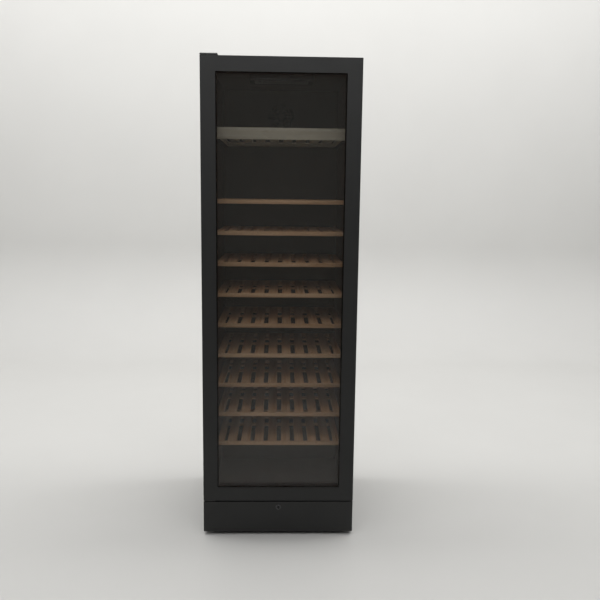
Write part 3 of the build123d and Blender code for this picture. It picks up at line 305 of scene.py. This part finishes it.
def zinc_coated_sheet():
    """Hot-dip galvanised sheet: dull grey metal whose crystals, 5 to 12 mm across, differ in tone."""
    material, tree = begin("galvanised_sheet")
    place = add(tree, "ShaderNodeTexCoord").outputs["Object"]
    crystals = add(tree, "ShaderNodeTexVoronoi", {"Vector": place, "Scale": 1 / 0.009})
    pick = add(tree, "ShaderNodeSeparateColor", {"Color": crystals.outputs["Color"]})
    tint = blend_colours(tree, pick.outputs["Red"], linear("#96999b"), linear("#a3a6a7"))
    gloss = add(
        tree,
        "ShaderNodeMapRange",
        {"Value": pick.outputs["Green"], "To Min": 0.44, "To Max": 0.54},
    )
    shader = add(
        tree,
        "ShaderNodeBsdfPrincipled",
        {"Base Color": tint, "Metallic": 1.0, "Roughness": gloss.outputs["Result"]},
    )
    end(tree, shader)
    return material


def plated_metal(name, light, dark, low, high, patch):
    """Plated or drawn metal: bright, with soft patches of duller film, patch millimetres across."""
    material, tree = begin(name)
    place = add(tree, "ShaderNodeTexCoord").outputs["Object"]
    film = mottle(tree, place, 1 / (patch * MM), 0.0, 1.0, detail=4.0)
    shader = add(
        tree,
        "ShaderNodeBsdfPrincipled",
        {
            "Base Color": blend_colours(tree, film, light, dark),
            "Metallic": 1.0,
            "Roughness": mottle(tree, place, 1 / (patch * 0.6 * MM), low, high),
        },
    )
    end(tree, shader)
    return material


def poured_foam():
    """Polyurethane foam, poured and skinned: straw-coloured, matt, with closed cells.

    The cells are under 1 mm; they are drawn 4 mm wide so that the surface reads as foam.
    """
    material, tree = begin("polyurethane_foam")
    place = add(tree, "ShaderNodeTexCoord").outputs["Object"]
    cells = add(tree, "ShaderNodeTexVoronoi", {"Vector": place, "Scale": 1 / 0.004})
    tint = blend_colours(tree, cells.outputs["Distance"], linear("#e9dcae"), linear("#d9c88e"))
    bump = add(
        tree,
        "ShaderNodeBump",
        {"Height": cells.outputs["Distance"], "Strength": 0.5, "Distance": 0.5 * MM},
    )
    shader = add(
        tree,
        "ShaderNodeBsdfPrincipled",
        {"Base Color": tint, "Roughness": 0.9, "Normal": bump.outputs["Normal"]},
    )
    end(tree, shader)
    return material


def pale_floor():
    """Sealed pale screed, trowelled: nearly even, with clouds half a metre wide."""
    material, tree = begin("pale_screed")
    place = add(tree, "ShaderNodeTexCoord").outputs["Object"]
    clouds = mottle(tree, place, 1 / 0.5, 0.0, 1.0, detail=4.0)
    tint = blend_colours(tree, clouds, linear("#bdbcb9"), linear("#bfbebb"))
    shader = add(tree, "ShaderNodeBsdfPrincipled", {"Base Color": tint, "Roughness": 0.7})
    end(tree, shader)
    return material


# ---- Shapes ----


def make_piece(name, points, faces, material, body, sharp=40.0, attributes=None):
    """A mesh object from points and faces, smooth except at edges sharper than the angle."""
    mesh = bpy.data.meshes.new(name)
    mesh.from_pydata(np.asarray(points).tolist(), [], faces)
    for title, kind, values in attributes or ():
        layer = mesh.attributes.new(title, kind, "POINT")
        layer.data.foreach_set("vector" if kind == "FLOAT_VECTOR" else "value", np.ravel(values))
    shell = bmesh.new()
    shell.from_mesh(mesh)
    bmesh.ops.remove_doubles(shell, verts=shell.verts, dist=1e-6)
    bmesh.ops.recalc_face_normals(shell, faces=shell.faces)
    shell.to_mesh(mesh)
    shell.free()
    mesh.polygons.foreach_set("use_smooth", [True] * len(mesh.polygons))
    mesh.set_sharp_from_angle(angle=math.radians(sharp))
    mesh.materials.append(material)
    piece = bpy.data.objects.new(name, mesh)
    bpy.context.scene.collection.objects.link(piece)
    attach(piece, body)
    return piece


def quads(rows, columns, wrap_rows=False, wrap_columns=False, start=0):
    """Corner numbers of the quads of a grid of points, closed in either direction if asked."""
    row = np.arange(rows if wrap_rows else rows - 1)
    column = np.arange(columns if wrap_columns else columns - 1)
    r, c = np.meshgrid(row, column, indexing="ij")
    r2, c2 = (r + 1) % rows, (c + 1) % columns
    corners = np.stack([r * columns + c, r * columns + c2, r2 * columns + c2, r2 * columns + c], -1)
    return (corners.reshape(-1, 4) + start).tolist()


def capped_tubes(count, stations, ring):
    """Faces of several tubes of the same grid, one after the other, each closed at both ends."""
    faces = []
    for number in range(count):
        first = number * stations * ring
        faces += quads(stations, ring, wrap_columns=True, start=first)
        faces.append(list(range(first, first + ring)))
        last = first + (stations - 1) * ring
        faces.append(list(range(last, last + ring)))
    return faces


def turned(profile, centre, axis, around=48):
    """A turned shape: each profile point (radius, height) swept round the axis through centre.

    Point = centre + height * axis + radius * (cos t * u + sin t * v), t from 0 to a full turn.
    """
    axis = Vector(axis).normalized()
    u = axis.orthogonal().normalized()
    v = axis.cross(u)
    t = np.linspace(0, 2 * np.pi, around, endpoint=False)
    radius, height = np.asarray(profile, float).T
    ring = np.cos(t)[:, None] * np.array(u) + np.sin(t)[:, None] * np.array(v)
    points = (
        np.array(centre)
        + height[:, None, None] * np.array(axis)
        + radius[:, None, None] * ring[None]
    )
    return points.reshape(-1, 3), quads(len(radius), around, wrap_columns=True)


def boards(middles, sizes, lengthways, arris, seed):
    """Planed boards, all at once: a rectangle with rounded corners carried along each length.

    Across = (w/2 - a) * side + a * cos t and up = (h/2 - a) * side + a * sin t, with a the radius
    of the arris. The last millimetre of each end draws in by the same curve, so ends are eased.
    Gives points, faces, the grain vector (own length, width and height, moved on by a random
    amount for each board) and the tone of each board.
    """
    middles, sizes = np.asarray(middles, float), np.asarray(sizes, float)
    count = len(middles)
    t = np.radians(np.concatenate([np.linspace(a, a + 90, 4) for a in (0, 90, 180, 270)]))
    side_x = np.repeat([1, -1, -1, 1], 4)
    side_z = np.repeat([1, 1, -1, -1], 4)
    bend = np.radians([0.0, 45.0, 90.0])
    draw = np.concatenate([1 - np.sin(bend), (1 - np.sin(bend))[::-1]]) * arris
    reach = np.concatenate([-1 + 0 * bend, 1 + 0 * bend])
    back = np.concatenate([1 - np.cos(bend), (1 - np.cos(bend))[::-1]]) * arris
    length, width, height = (sizes[:, i, None, None] for i in range(3))
    along = (reach[None, :, None] * (length / 2 - back[None, :, None])) + 0 * t[None, None, :]
    across = (width / 2 - arris) * side_x + arris * np.cos(t) - draw[None, :, None] * side_x
    up = (height / 2 - arris) * side_z + arris * np.sin(t) - draw[None, :, None] * side_z
    local = np.stack([along, across, up], -1)
    flat = np.where(np.asarray(lengthways)[:, None, None, None] == 0, local, local[..., [1, 0, 2]])
    points = flat + middles[:, None, None, :]
    chance = np.random.default_rng(seed)
    shift = chance.uniform(0, 7, (count, 1, 1, 3))
    tone = np.broadcast_to(chance.uniform(0.90, 1.08, (count, 1, 1)), local.shape[:3])
    faces = capped_tubes(count, *local.shape[1:3])
    return points.reshape(-1, 3), faces, (local + shift).reshape(-1, 3), tone.ravel()


def seal_ring(profile, half, bottom, top):
    """A door seal: a profile of (inset, depth) carried round a rectangle with mitred corners.

    Corner = (side * (half - inset), depth, bottom + inset or top - inset).
    """
    inset, depth = np.asarray(profile, float).T
    corners = np.stack(
        [
            np.stack([-(half - inset), depth, bottom + inset], -1),
            np.stack([half - inset, depth, bottom + inset], -1),
            np.stack([half - inset, depth, top - inset], -1),
            np.stack([-(half - inset), depth, top - inset], -1),
        ],
        axis=1,
    )
    return corners.reshape(-1, 3), quads(len(inset), 4, wrap_rows=True, wrap_columns=True)


def fan_blades(centre, axis, hub, tip, depth, count, pitch_hub, pitch_tip):
    """Twisted fan blades: chord lines laid on cylinders, their pitch falling from hub to tip.

    At radius r, chord share s (-1/2 to 1/2) and side e (+1 or -1), the angle is s * chord *
    cos(pitch) / r + sweep, the height is s * chord * sin(pitch) plus camber and thickness.
    """
    axis = Vector(axis).normalized()
    u = np.array(axis.orthogonal().normalized())
    v = np.cross(np.array(axis), u)
    share = np.linspace(0, 1, 9)
    radius = hub * 0.9 + share * (tip - hub * 0.9)
    pitch = np.radians(pitch_hub + share * (pitch_tip - pitch_hub))
    loop = np.linspace(0, 2 * np.pi, 16, endpoint=False)
    s = 0.5 * np.cos(loop)
    thick = 0.5 * np.sin(loop) * (1.0 - 0.4 * s)
    chord = depth * 0.94 / np.sin(pitch)
    sweep = 0.35 * share**1.6
    angle = (s[None] * chord[:, None] * np.cos(pitch)[:, None]) / radius[:, None] + sweep[:, None]
    camber = 0.06 * chord[:, None] * (0.25 - s[None] ** 2)
    height = s[None] * chord[:, None] * np.sin(pitch)[:, None] + camber + thick[None] * 0.0018
    turn = 2 * np.pi * np.arange(count)[:, None, None] / count
    angle = angle[None] + turn
    out = np.cos(angle)[..., None] * u + np.sin(angle)[..., None] * v
    points = (
        np.array(centre)
        + radius[None, :, None, None] * out
        + height[None, ..., None] * np.array(axis)
    )
    return points.reshape(-1, 3), capped_tubes(count, *height.shape)


def threaded_stem(centre, low, high, radius, pitch, deep):
    """A screw thread: the radius falls by a triangle wave of height / pitch minus the turn."""
    turns = (high - low) / pitch
    t = np.linspace(0, 2 * np.pi, 32, endpoint=False)
    z = np.linspace(low, high, int(turns * 8) + 1)
    wave = np.abs(((z[:, None] / pitch - t[None] / (2 * np.pi)) % 1.0) - 0.5) * 2
    r = radius - deep * wave
    points = np.stack(
        [centre[0] + r * np.cos(t), centre[1] + r * np.sin(t), z[:, None] + 0 * r], -1
    ).reshape(-1, 3)
    faces = quads(len(z), len(t), wrap_columns=True)
    faces.append(list(range(len(t))))
    faces.append(list(range(len(points) - len(t), len(points))))
    return points, faces


def joined(*shapes):
    """Several (points, faces) shapes as one."""
    points, faces, start = [], [], 0
    for some_points, some_faces in shapes:
        points.append(np.asarray(some_points))
        faces += [[corner + start for corner in face] for face in some_faces]
        start += len(some_points)
    return np.concatenate(points), faces


def paint(nodes, material):
    """Give CAD nodes a finish."""
    for name in nodes:
        surface = frame["nodes"][name].data
        surface.materials.clear()
        surface.materials.append(material)


# ---- Settings ----


class CabinetSettings(bpy.types.PropertyGroup):
    paint: FloatVectorProperty(
        name="Paint",
        description="Colour of the powder coat on the cabinet, the door and the plinth",
        default=linear("#131312")[:3],
        subtype="COLOR",
        min=0,
        max=1,
    )
    # The liner's warm brown-grey is lighter and warmer than the black plastic it is made of: part of it is
    # painted reflection, the brown glow the glass lays over the dark inside.
    liner: FloatVectorProperty(
        name="Liner",
        description="Colour of the formed plastic inside",
        default=linear("#443e3a")[:3],
        subtype="COLOR",
        min=0,
        max=1,
    )


class DoorSettings(bpy.types.PropertyGroup):
    # The pane's darkness is its own tint; its warm brown hue is painted reflection, a brown glow that the
    # glass shows over the shelves.
    tint: FloatVectorProperty(
        name="Glass tint",
        description="Colour of the outer pane",
        default=linear("#30241c")[:3],
        subtype="COLOR",
        min=0,
        max=1,
    )
    cover: FloatProperty(
        name="Tint strength",
        description="Share of the light that the outer pane holds back",
        default=0.16,
        min=0.1,
        max=1,
        subtype="FACTOR",
    )
    lip: FloatProperty(
        name="Seal bellows",
        description="Depth of the folds of the seal",
        default=1.6 * MM,
        min=0,
        max=3 * MM,
        unit="LENGTH",
    )


class ShelfSettings(bpy.types.PropertyGroup):
    slats: IntProperty(name="Slats", description="Slats on each shelf", default=8, min=2, max=20)
    slat_width: FloatProperty(
        name="Slat width", description="Width of a slat", default=36 * MM, min=0.01, unit="LENGTH"
    )
    slat_gap: FloatProperty(
        name="Slat gap", description="Gap between slats", default=18 * MM, min=0.001, unit="LENGTH"
    )
    slat_thickness: FloatProperty(
        name="Slat thickness", description="Thickness of a slat", default=10 * MM, min=0.003, unit="LENGTH"
    )
    strip: FloatProperty(
        name="Front strip", description="Thickness of the strip in front", default=8 * MM, unit="LENGTH"
    )
    bar: FloatProperty(
        name="Back bar", description="Front to back size of the back bar", default=20 * MM, unit="LENGTH"
    )
    rail: FloatProperty(
        name="Rail width", description="Width of the side rails", default=25 * MM, unit="LENGTH"
    )
    board: FloatProperty(
        name="Shelf thickness", description="Height of the bars and rails", default=16 * MM, unit="LENGTH"
    )
    arris: FloatProperty(
        name="Arris", description="Radius of the boards' edges", default=1.0 * MM, unit="LENGTH"
    )
    light: FloatVectorProperty(
        name="Light wood",
        description="Colour between the grain lines",
        default=linear("#dcb68f")[:3],
        subtype="COLOR",
        min=0,
        max=1,
    )
    dark: FloatVectorProperty(
        name="Dark wood",
        description="Colour of the grain lines",
        default=linear("#bf9269")[:3],
        subtype="COLOR",
        min=0,
        max=1,
    )


class MachineSettings(bpy.types.PropertyGroup):
    blades: IntProperty(name="Blades", description="Blades on each fan", default=7, min=3, max=12)
    thread: FloatProperty(
        name="Foot thread", description="Pitch of the feet's thread", default=1.5 * MM, unit="LENGTH"
    )


class StageSettings(bpy.types.PropertyGroup):
    camera_place: FloatVectorProperty(
        name="Camera",
        description="Where the camera stands",
        default=(-0.0015, -2.9405, 1.3576),
        subtype="TRANSLATION",
        unit="LENGTH",
    )
    turn: FloatProperty(
        name="Turn",
        description="Turn of the camera to the right",
        default=math.radians(1.698),
        subtype="ANGLE",
    )
    dip: FloatProperty(
        name="Dip", description="How far the camera looks down", default=math.radians(8.640), subtype="ANGLE"
    )
    roll: FloatProperty(
        name="Roll", description="Roll of the camera", default=math.radians(0.697), subtype="ANGLE"
    )
    lens: FloatProperty(
        name="Lens", description="Focal length on a 36 mm sensor", default=41.96, unit="CAMERA"
    )


# ---- Operators ----


class COOLER_OT_cabinet(bpy.types.Operator):
    """Paint the cabinet's steel and finish the liner, the plinth and the back"""

    bl_idname = "cooler.cabinet"
    bl_label = "Cabinet"

    def execute(self, context):
        settings = context.scene.cooler_cabinet
        coat = powder_coated_steel(tuple(settings.paint) + (1.0,))
        panels = ["side_panel_left", "side_panel_right", "top_panel", "plinth"]
        paint(panels + ["door_skin", "compartment_wall"], coat)
        cover = formed_plastic("moulded_cover_plastic", linear("#262625"), 0.48, 1.0)
        paint(["hinge_cover"], cover)
        # painted reflection: the liner and duct panel are drawn warmer and lighter than their black plastic
        liner = formed_plastic("abs_liner_with_painted_reflection", tuple(settings.liner) + (1.0,), 0.42, 2.0)
        paint(["inner_liner", "duct_panel"], liner)
        sheet = zinc_coated_sheet()
        paint(["rear_panel", "rear_grille", "base_pan", "condenser_fan_mount"], sheet)
        paint(["insulation_foam", "door_core"], poured_foam())
        return {"FINISHED"}


class COOLER_OT_door(bpy.types.Operator):
    """Finish the panes, the frame behind them and the spacer between them"""

    bl_idname = "cooler.door"
    bl_label = "Door"

    def execute(self, context):
        settings = context.scene.cooler_door
        # warm brown glass colour: dark tint of its own, with painted reflection in its hue
        tint = tuple(settings.tint) + (1.0,)
        paint(["outer_glass"], tinted_float_glass("tinted_float_glass", tint, settings.cover))
        clear = linear("#616865")
        paint(["inner_glass"], tinted_float_glass("clear_float_glass", clear, CLEAR_COVER))
        spacer = plated_metal("black_anodised_spacer", linear("#0e0e0e"), linear("#161616"), 0.4, 0.5, 60)
        paint(["glass_spacer"], spacer)
        paint(["door_inner_frame"], formed_plastic("extruded_pvc_frame", linear("#1d1d1d"), 0.5, 1.5))
        return {"FINISHED"}


class COOLER_OT_seal(bpy.types.Operator):
    """Make the magnetic door seal with its foot, bellows and rounded head"""

    bl_idname = "cooler.seal"
    bl_label = "Door seal"

    def execute(self, context):
        low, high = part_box("door_gasket")
        fold = context.scene.cooler_door.lip
        front, back = low.y, high.y
        half, width = high.x, 14 * MM
        foot = front + 4.8 * MM
        profile = [
            (5.4 * MM, front),
            (8.6 * MM, front),
            (8.6 * MM, foot),
            (11.6 * MM, foot + 0.2 * MM),
            (12.4 * MM, foot + 1.0 * MM),
            (12.4 * MM - fold, foot + 2.2 * MM),
            (12.6 * MM, foot + 3.2 * MM),
            (width - 0.4 * MM, foot + 3.8 * MM),
            (width, foot + 5.0 * MM),
            (width - 0.3 * MM, back - 0.8 * MM),
            (width - 1.2 * MM, back),
            (1.2 * MM, back),
            (0.3 * MM, back - 0.8 * MM),
            (0.0, foot + 5.0 * MM),
            (0.4 * MM, foot + 3.8 * MM),
            (1.4 * MM, foot + 3.2 * MM),
            (1.6 * MM + fold, foot + 2.2 * MM),
            (1.6 * MM, foot + 1.0 * MM),
            (2.4 * MM, foot + 0.2 * MM),
            (5.4 * MM, foot),
        ]
        points, faces = seal_ring(profile, half, low.z, high.z)
        vinyl = formed_plastic("soft_vinyl_seal", linear("#161616"), 0.55, 3.0)
        piece = make_piece("door_seal", points, faces, vinyl, "door", sharp=50)
        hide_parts("door_gasket")
        return {"FINISHED"}


class COOLER_OT_shelves(bpy.types.Operator):
    """Make the slatted wooden shelves, board by board"""

    bl_idname = "cooler.shelves"
    bl_label = "Shelves"

    def execute(self, context):
        s = context.scene.cooler_shelves
        beech = planed_beech("planed_beech", tuple(s.light) + (1.0,), tuple(s.dark) + (1.0,))
        maple = planed_beech("pale_planed_beech", linear("#c9c1ae"), linear("#b3aa94"))
        glue = GLUE_LINE
        for number, name in enumerate(SHELVES):
            low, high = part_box(name)
            half, front, back, bottom = high.x, low.y, high.y, low.z
            top = bottom + s.board
            front_top = high.z
            inner = back - front - s.strip - s.bar - 2 * glue
            middle_y = (front + s.strip + back - s.bar) / 2
            middle_z = (bottom + top) / 2
            front_high = front_top - bottom
            rows = [
                (0, (0, front + s.strip / 2, bottom + front_high / 2), (2 * half, s.strip, front_high)),
                (0, (0, back - s.bar / 2, middle_z), (2 * half, s.bar, s.board)),
            ]
            for side in (-1, 1):
                place = (side * (half - s.rail / 2), middle_y, middle_z)
                rows.append((1, place, (inner, s.rail, s.board)))
            for index in range(s.slats):
                x = (index - (s.slats - 1) / 2) * (s.slat_width + s.slat_gap)
                place = (x, middle_y, top - s.slat_thickness / 2)
                rows.append((1, place, (inner, s.slat_width, s.slat_thickness)))
            under = s.board - s.slat_thickness - 2 * glue
            for y in (front + FRONT_BATTEN, back - BACK_BATTEN):
                place = (0, y, bottom + glue + under / 2)
                rows.append((0, place, (2 * (half - s.rail - glue), BATTEN, under)))
            ways, places, sizes = zip(*rows)
            points, faces, grain, tone = boards(places, sizes, ways, s.arris, seed=GRAIN_SEED + number)
            piece = make_piece(
                f"{name}_boards",
                points,
                faces,
                maple if name == "display_shelf" else beech,
                name.replace("wine_shelf", "shelf"),
                sharp=30,
                attributes=[("grain", "FLOAT_VECTOR", grain), ("tone", "FLOAT", tone)],
            )
            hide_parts(name)
        paint(["shelf_runners"], formed_plastic("moulded_runner_plastic", linear("#1c1c1c"), 0.5, 2.0))
        return {"FINISHED"}


class COOLER_OT_hardware(bpy.types.Operator):
    """Finish the hinges, the lock, the screws and the rivets"""

    bl_idname = "cooler.hardware"
    bl_label = "Hinges, lock and fasteners"

    def execute(self, context):
        zinc = plated_metal("bright_zinc_plate", linear("#b7b5ab"), linear("#9c9a90"), 0.25, 0.42, 18)
        paint(
            ["top_hinge_bracket", "bottom_hinge_bracket", "hinge_pins", "screws", "rivets"]
            + ["roller_brackets", "lock_keeper", "lock_cam"],
            zinc,
        )
        # The lock housing's plate is drawn dark grey, much darker than bright nickel.
        nickel = plated_metal("dark_grey_nickel_plate", linear("#545455"), linear("#464647"), 0.22, 0.34, 8)
        paint(["lock_housing"], nickel)
        dark = plated_metal("black_nickel_plate", linear("#3a3a3b"), linear("#2c2c2d"), 0.16, 0.26, 8)
        paint(["lock_barrel"], dark)
        paint(["hinge_bushes"], formed_plastic("natural_nylon", linear("#d9d7cc"), 0.35, 3.0))
        return {"FINISHED"}


class COOLER_OT_cold_side(bpy.types.Operator):
    """Finish the evaporator, the control housing and its light"""

    bl_idname = "cooler.cold_side"
    bl_label = "Cold side"

    def execute(self, context):
        fins = plated_metal("rolled_aluminium", linear("#c9cbcc"), linear("#b4b6b8"), 0.28, 0.42, 30)
        paint(["evaporator"], fins)
        paint(["control_housing", "fan_motor"], formed_plastic("black_abs", linear("#191919"), 0.45, 1.5))
        paint(["light_diffuser"], formed_plastic("milky_acrylic", linear("#50504d"), 0.3, 3.0))
        return {"FINISHED"}


class COOLER_OT_machine(bpy.types.Operator):
    """Finish the compressor, the condenser, the pipes, the tray and the electronics box"""

    bl_idname = "cooler.machine"
    bl_label = "Machine compartment"

    def execute(self, context):
        enamel = formed_plastic("stoved_black_enamel", linear("#121213"), 0.28, 6.0)
        paint(["compressor", "condenser"], enamel)
        copper = plated_metal("drawn_copper", linear("#c0754c"), linear("#8f5237"), 0.25, 0.45, 25)
        paint(["refrigerant_pipes"], copper)
        rubber = formed_plastic("moulded_rubber", linear("#1b1b1b"), 0.75, 3.0)
        paint(["compressor_grommets"], rubber)
        black = formed_plastic("black_polypropylene", linear("#1a1a1a"), 0.5, 2.0)
        paint(["drip_tray", "electronics_box", "cord_gland", "rear_spacers"], black)
        return {"FINISHED"}


class COOLER_OT_fans(bpy.types.Operator):
    """Make the two axial fans with twisted blades"""

    bl_idname = "cooler.fans"
    bl_label = "Fans"

    def execute(self, context):
        black = formed_plastic("glass_filled_nylon", linear("#202022"), 0.42, 2.0)
        count = context.scene.cooler_machine.blades
        for node, axis, hub, depth in (
            ("circulation_fan", 1, 18 * MM, 12 * MM),
            ("condenser_fan", 0, 24 * MM, 17 * MM),
        ):
            low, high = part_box(node)
            joint = next(j for j in frame["joints"] if j["child"] == node)
            middle = np.array(joint["pos_m"])
            way = np.eye(3)[axis]
            tip = (high.z - low.z) / 2
            shaft = high[axis] - middle[axis]
            half = depth / 2
            angles = (BLADE_ANGLE_HUB, BLADE_ANGLE_TIP)
            blades = fan_blades(middle, way, hub, tip, depth, count, *angles)
            round_edge = 2.5 * MM
            profile = [
                (0.0, -half + 0.4 * MM),
                (hub * 0.55, -half + 0.2 * MM),
                (hub - round_edge, -half + 0.5 * MM),
                (hub - 0.7 * MM, -half + 1.2 * MM),
                (hub, -half + round_edge),
                (hub, half),
                (2.5 * MM, half),
                (2.5 * MM, shaft),
                (0.0, shaft),
            ]
            points, faces = joined(turned(profile, middle, way), blades)
            piece = make_piece(f"{node}_rotor", points, faces, black, node, sharp=45)
            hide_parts(node)
        return {"FINISHED"}


class COOLER_OT_feet(bpy.types.Operator):
    """Make the levelling feet: a turned pad on a threaded stem"""

    bl_idname = "cooler.feet"
    bl_label = "Levelling feet"

    def execute(self, context):
        pitch = context.scene.cooler_machine.thread
        pad = formed_plastic("moulded_nylon_foot", linear("#2b2b2b"), 0.5, 2.0)
        for side in ("left", "right"):
            node = f"levelling_foot_{side}"
            low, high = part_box(node)
            middle = (low + high) / 2
            radius = (high.x - low.x) / 2
            profile = [
                (0.0, 0.0),
                (radius - 1.5 * MM, 0.0),
                (radius - 0.4 * MM, 0.5 * MM),
                (radius, 1.5 * MM),
                (radius, 5.0 * MM),
                (radius - 1.0 * MM, 7.2 * MM),
                (radius - 3.0 * MM, PAD_TOP),
                (9.0 * MM, PAD_TOP),
                (7.0 * MM, 11.0 * MM),
                (7.0 * MM, COLLAR_TOP),
                (0.0, COLLAR_TOP),
            ]
            disc = turned(profile, (middle.x, middle.y, low.z), (0, 0, 1), around=60)
            # The stem stands a hair clear of the collar.
            low_end = 14.2 * MM
            centre = (middle.x, middle.y)
            stem = threaded_stem(centre, low_end, high.z, STEM_RADIUS, pitch, THREAD_DEPTH)
            points, faces = joined(disc, stem)
            piece = make_piece(f"{node}_screw", points, faces, pad, f"foot_{side}")
            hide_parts(node)
        return {"FINISHED"}


class COOLER_OT_rollers(bpy.types.Operator):
    """Make the rear rollers with a grooved tread"""

    bl_idname = "cooler.rollers"
    bl_label = "Rollers"

    def execute(self, context):
        nylon = formed_plastic("grey_nylon_roller", linear("#3b3b3c"), 0.5, 2.0)
        for side in ("left", "right"):
            node = f"roller_{side}"
            low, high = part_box(node)
            middle = (low + high) / 2
            radius = (high.z - low.z) / 2
            half = (high.x - low.x) / 2
            bore = 3.05 * MM
            profile = [
                (bore, -half),
                (6 * MM, -half),
                (7 * MM, -half + 1.5 * MM),
                (radius - 5 * MM, -half + 1.5 * MM),
                (radius - 4 * MM, -half),
                (radius - 1.5 * MM, -half),
                (radius - 0.4 * MM, -half + 0.6 * MM),
                (radius, -half + 2 * MM),
                (radius, -0.8 * MM),
                (radius - 0.8 * MM, 0.0),
                (radius, 0.8 * MM),
                (radius, half - 2 * MM),
                (radius - 0.4 * MM, half - 0.6 * MM),
                (radius - 1.5 * MM, half),
                (radius - 4 * MM, half),
                (radius - 5 * MM, half - 1.5 * MM),
                (7 * MM, half - 1.5 * MM),
                (6 * MM, half),
                (bore, half),
                (bore, -half),
            ]
            points, faces = turned(profile, middle, (1, 0, 0), around=56)
            piece = make_piece(f"{node}_wheel", points, faces, nylon, f"roller_{side}")
            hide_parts(node)
        return {"FINISHED"}


class COOLER_OT_stage(bpy.types.Operator):
    """Set up the floor with its curved rise, the lights and the camera"""

    bl_idname = "cooler.stage"
    bl_label = "Stage"

    def execute(self, context):
        scene = context.scene
        settings = scene.cooler_stage
        self.floor(scene)
        self.lights(scene)
        self.camera(scene, settings)
        scene.view_settings.view_transform = "Standard"
        return {"FINISHED"}

    def floor(self, scene):
        """A flat floor that curves up into a wall: a line, a quarter circle and a line."""
        bend, wall, columns = SWEEP_BEND, WALL_AT, FLOOR_COLUMNS
        t = np.linspace(0, np.pi / 2, 16)
        y = np.concatenate([[FLOOR_FRONT, 0.0], wall - bend + bend * np.sin(t), [wall]])
        z = np.concatenate([[0.0, 0.0], bend * (1 - np.cos(t)), [WALL_TOP]])
        x = np.broadcast_to(np.linspace(-FLOOR_HALF, FLOOR_HALF, columns), (len(y), columns))
        y, z = (np.repeat(v[:, None], columns, 1) for v in (y, z))
        points = np.stack([x, y, z], -1).reshape(-1, 3)
        mesh = bpy.data.meshes.new("studio_floor")
        mesh.from_pydata(points.tolist(), [], quads(len(y), columns))
        mesh.polygons.foreach_set("use_smooth", [True] * len(mesh.polygons))
        mesh.materials.append(pale_floor())
        floor = bpy.data.objects.new("studio_floor", mesh)
        scene.collection.objects.link(floor)

    def lights(self, scene):
        """Large soft lamps overhead and at both sides, and an even sky for the rest."""
        for name, place, target, wide, high, power in LAMPS:
            lamp = bpy.data.lights.new(name, "AREA")
            lamp.shape = "RECTANGLE"
            lamp.size, lamp.size_y, lamp.energy = wide, high, power
            holder = bpy.data.objects.new(name, lamp)
            way = Vector(target) - Vector(place)
            turn = way.to_track_quat("-Z", "Y").to_matrix().to_4x4()
            holder.matrix_world = Matrix.Translation(place) @ turn
            scene.collection.objects.link(holder)
        world = bpy.data.worlds.new("studio_sky")
        world.use_nodes = True
        tree = world.node_tree
        tree.nodes.clear()
        seen = add(tree, "ShaderNodeBackground", {"Color": linear("#bdbcb9"), "Strength": 1.0})
        lit = add(tree, "ShaderNodeBackground", {"Color": linear("#dfe3e6"), "Strength": SKY_STRENGTH})
        eye = add(tree, "ShaderNodeLightPath")
        both = add(
            tree,
            "ShaderNodeMixShader",
            {0: eye.outputs["Is Camera Ray"], 1: lit.outputs[0], 2: seen.outputs[0]},
        )
        add(tree, "ShaderNodeOutputWorld", {"Surface": both.outputs[0]})
        scene.world = world

    def camera(self, scene, settings):
        """Aim the camera: turned right, dipped down, then rolled about its own line of sight."""
        turn, dip, roll = settings.turn, settings.dip, settings.roll
        level = Vector((math.sin(turn), math.cos(turn), 0))
        right = Vector((math.cos(turn), -math.sin(turn), 0))
        ahead = level * math.cos(dip) - Vector((0, 0, math.sin(dip)))
        up = level * math.sin(dip) + Vector((0, 0, math.cos(dip)))
        right, up = (
            right * math.cos(roll) + up * math.sin(roll),
            up * math.cos(roll) - right * math.sin(roll),
        )
        pose = Matrix((right, up, -ahead)).transposed().to_4x4()
        pose.translation = settings.camera_place
        lens = bpy.data.cameras.new("studio_camera")
        lens.lens = settings.lens
        lens.sensor_width = SENSOR
        holder = bpy.data.objects.new("studio_camera", lens)
        holder.matrix_world = pose
        scene.collection.objects.link(holder)
        scene.camera = holder


class COOLER_PT_panel(bpy.types.Panel):
    """Lists the pieces of the cooler and their settings"""

    bl_idname = "COOLER_PT_panel"
    bl_label = "Wine Cooler"
    bl_space_type = "VIEW_3D"
    bl_region_type = "UI"
    bl_category = "Cooler"

    def draw(self, context):
        for operator in STEPS:
            self.layout.operator(operator.bl_idname)
        for name, group in SETTINGS.items():
            box = self.layout.box()
            settings = getattr(context.scene, name)
            for prop in group.__annotations__:
                box.prop(settings, prop)


SETTINGS = {
    "cooler_cabinet": CabinetSettings,
    "cooler_door": DoorSettings,
    "cooler_shelves": ShelfSettings,
    "cooler_machine": MachineSettings,
    "cooler_stage": StageSettings,
}
STEPS = (
    COOLER_OT_stage,
    COOLER_OT_cabinet,
    COOLER_OT_door,
    COOLER_OT_seal,
    COOLER_OT_shelves,
    COOLER_OT_hardware,
    COOLER_OT_cold_side,
    COOLER_OT_machine,
    COOLER_OT_fans,
    COOLER_OT_feet,
    COOLER_OT_rollers,
)


def register():
    """Register the settings, the operators and the panel."""
    for group in SETTINGS.values():
        bpy.utils.register_class(group)
    for name, group in SETTINGS.items():
        setattr(bpy.types.Scene, name, PointerProperty(type=group))
    for operator in STEPS:
        bpy.utils.register_class(operator)
    bpy.utils.register_class(COOLER_PT_panel)


def unregister():
    """Take everything back out, in the opposite order."""
    bpy.utils.unregister_class(COOLER_PT_panel)
    for operator in reversed(STEPS):
        bpy.utils.unregister_class(operator)
    for name, group in reversed(SETTINGS.items()):
        delattr(bpy.types.Scene, name)
        bpy.utils.unregister_class(group)


def main():
    """Run every step."""
    register()
    for operator in STEPS:
        group, name = operator.bl_idname.split(".")
        result = getattr(getattr(bpy.ops, group), name)()
        if result != {"FINISHED"}:
            raise RuntimeError(f"{operator.bl_label} did not finish")


if __name__ == "__main__":
    main()
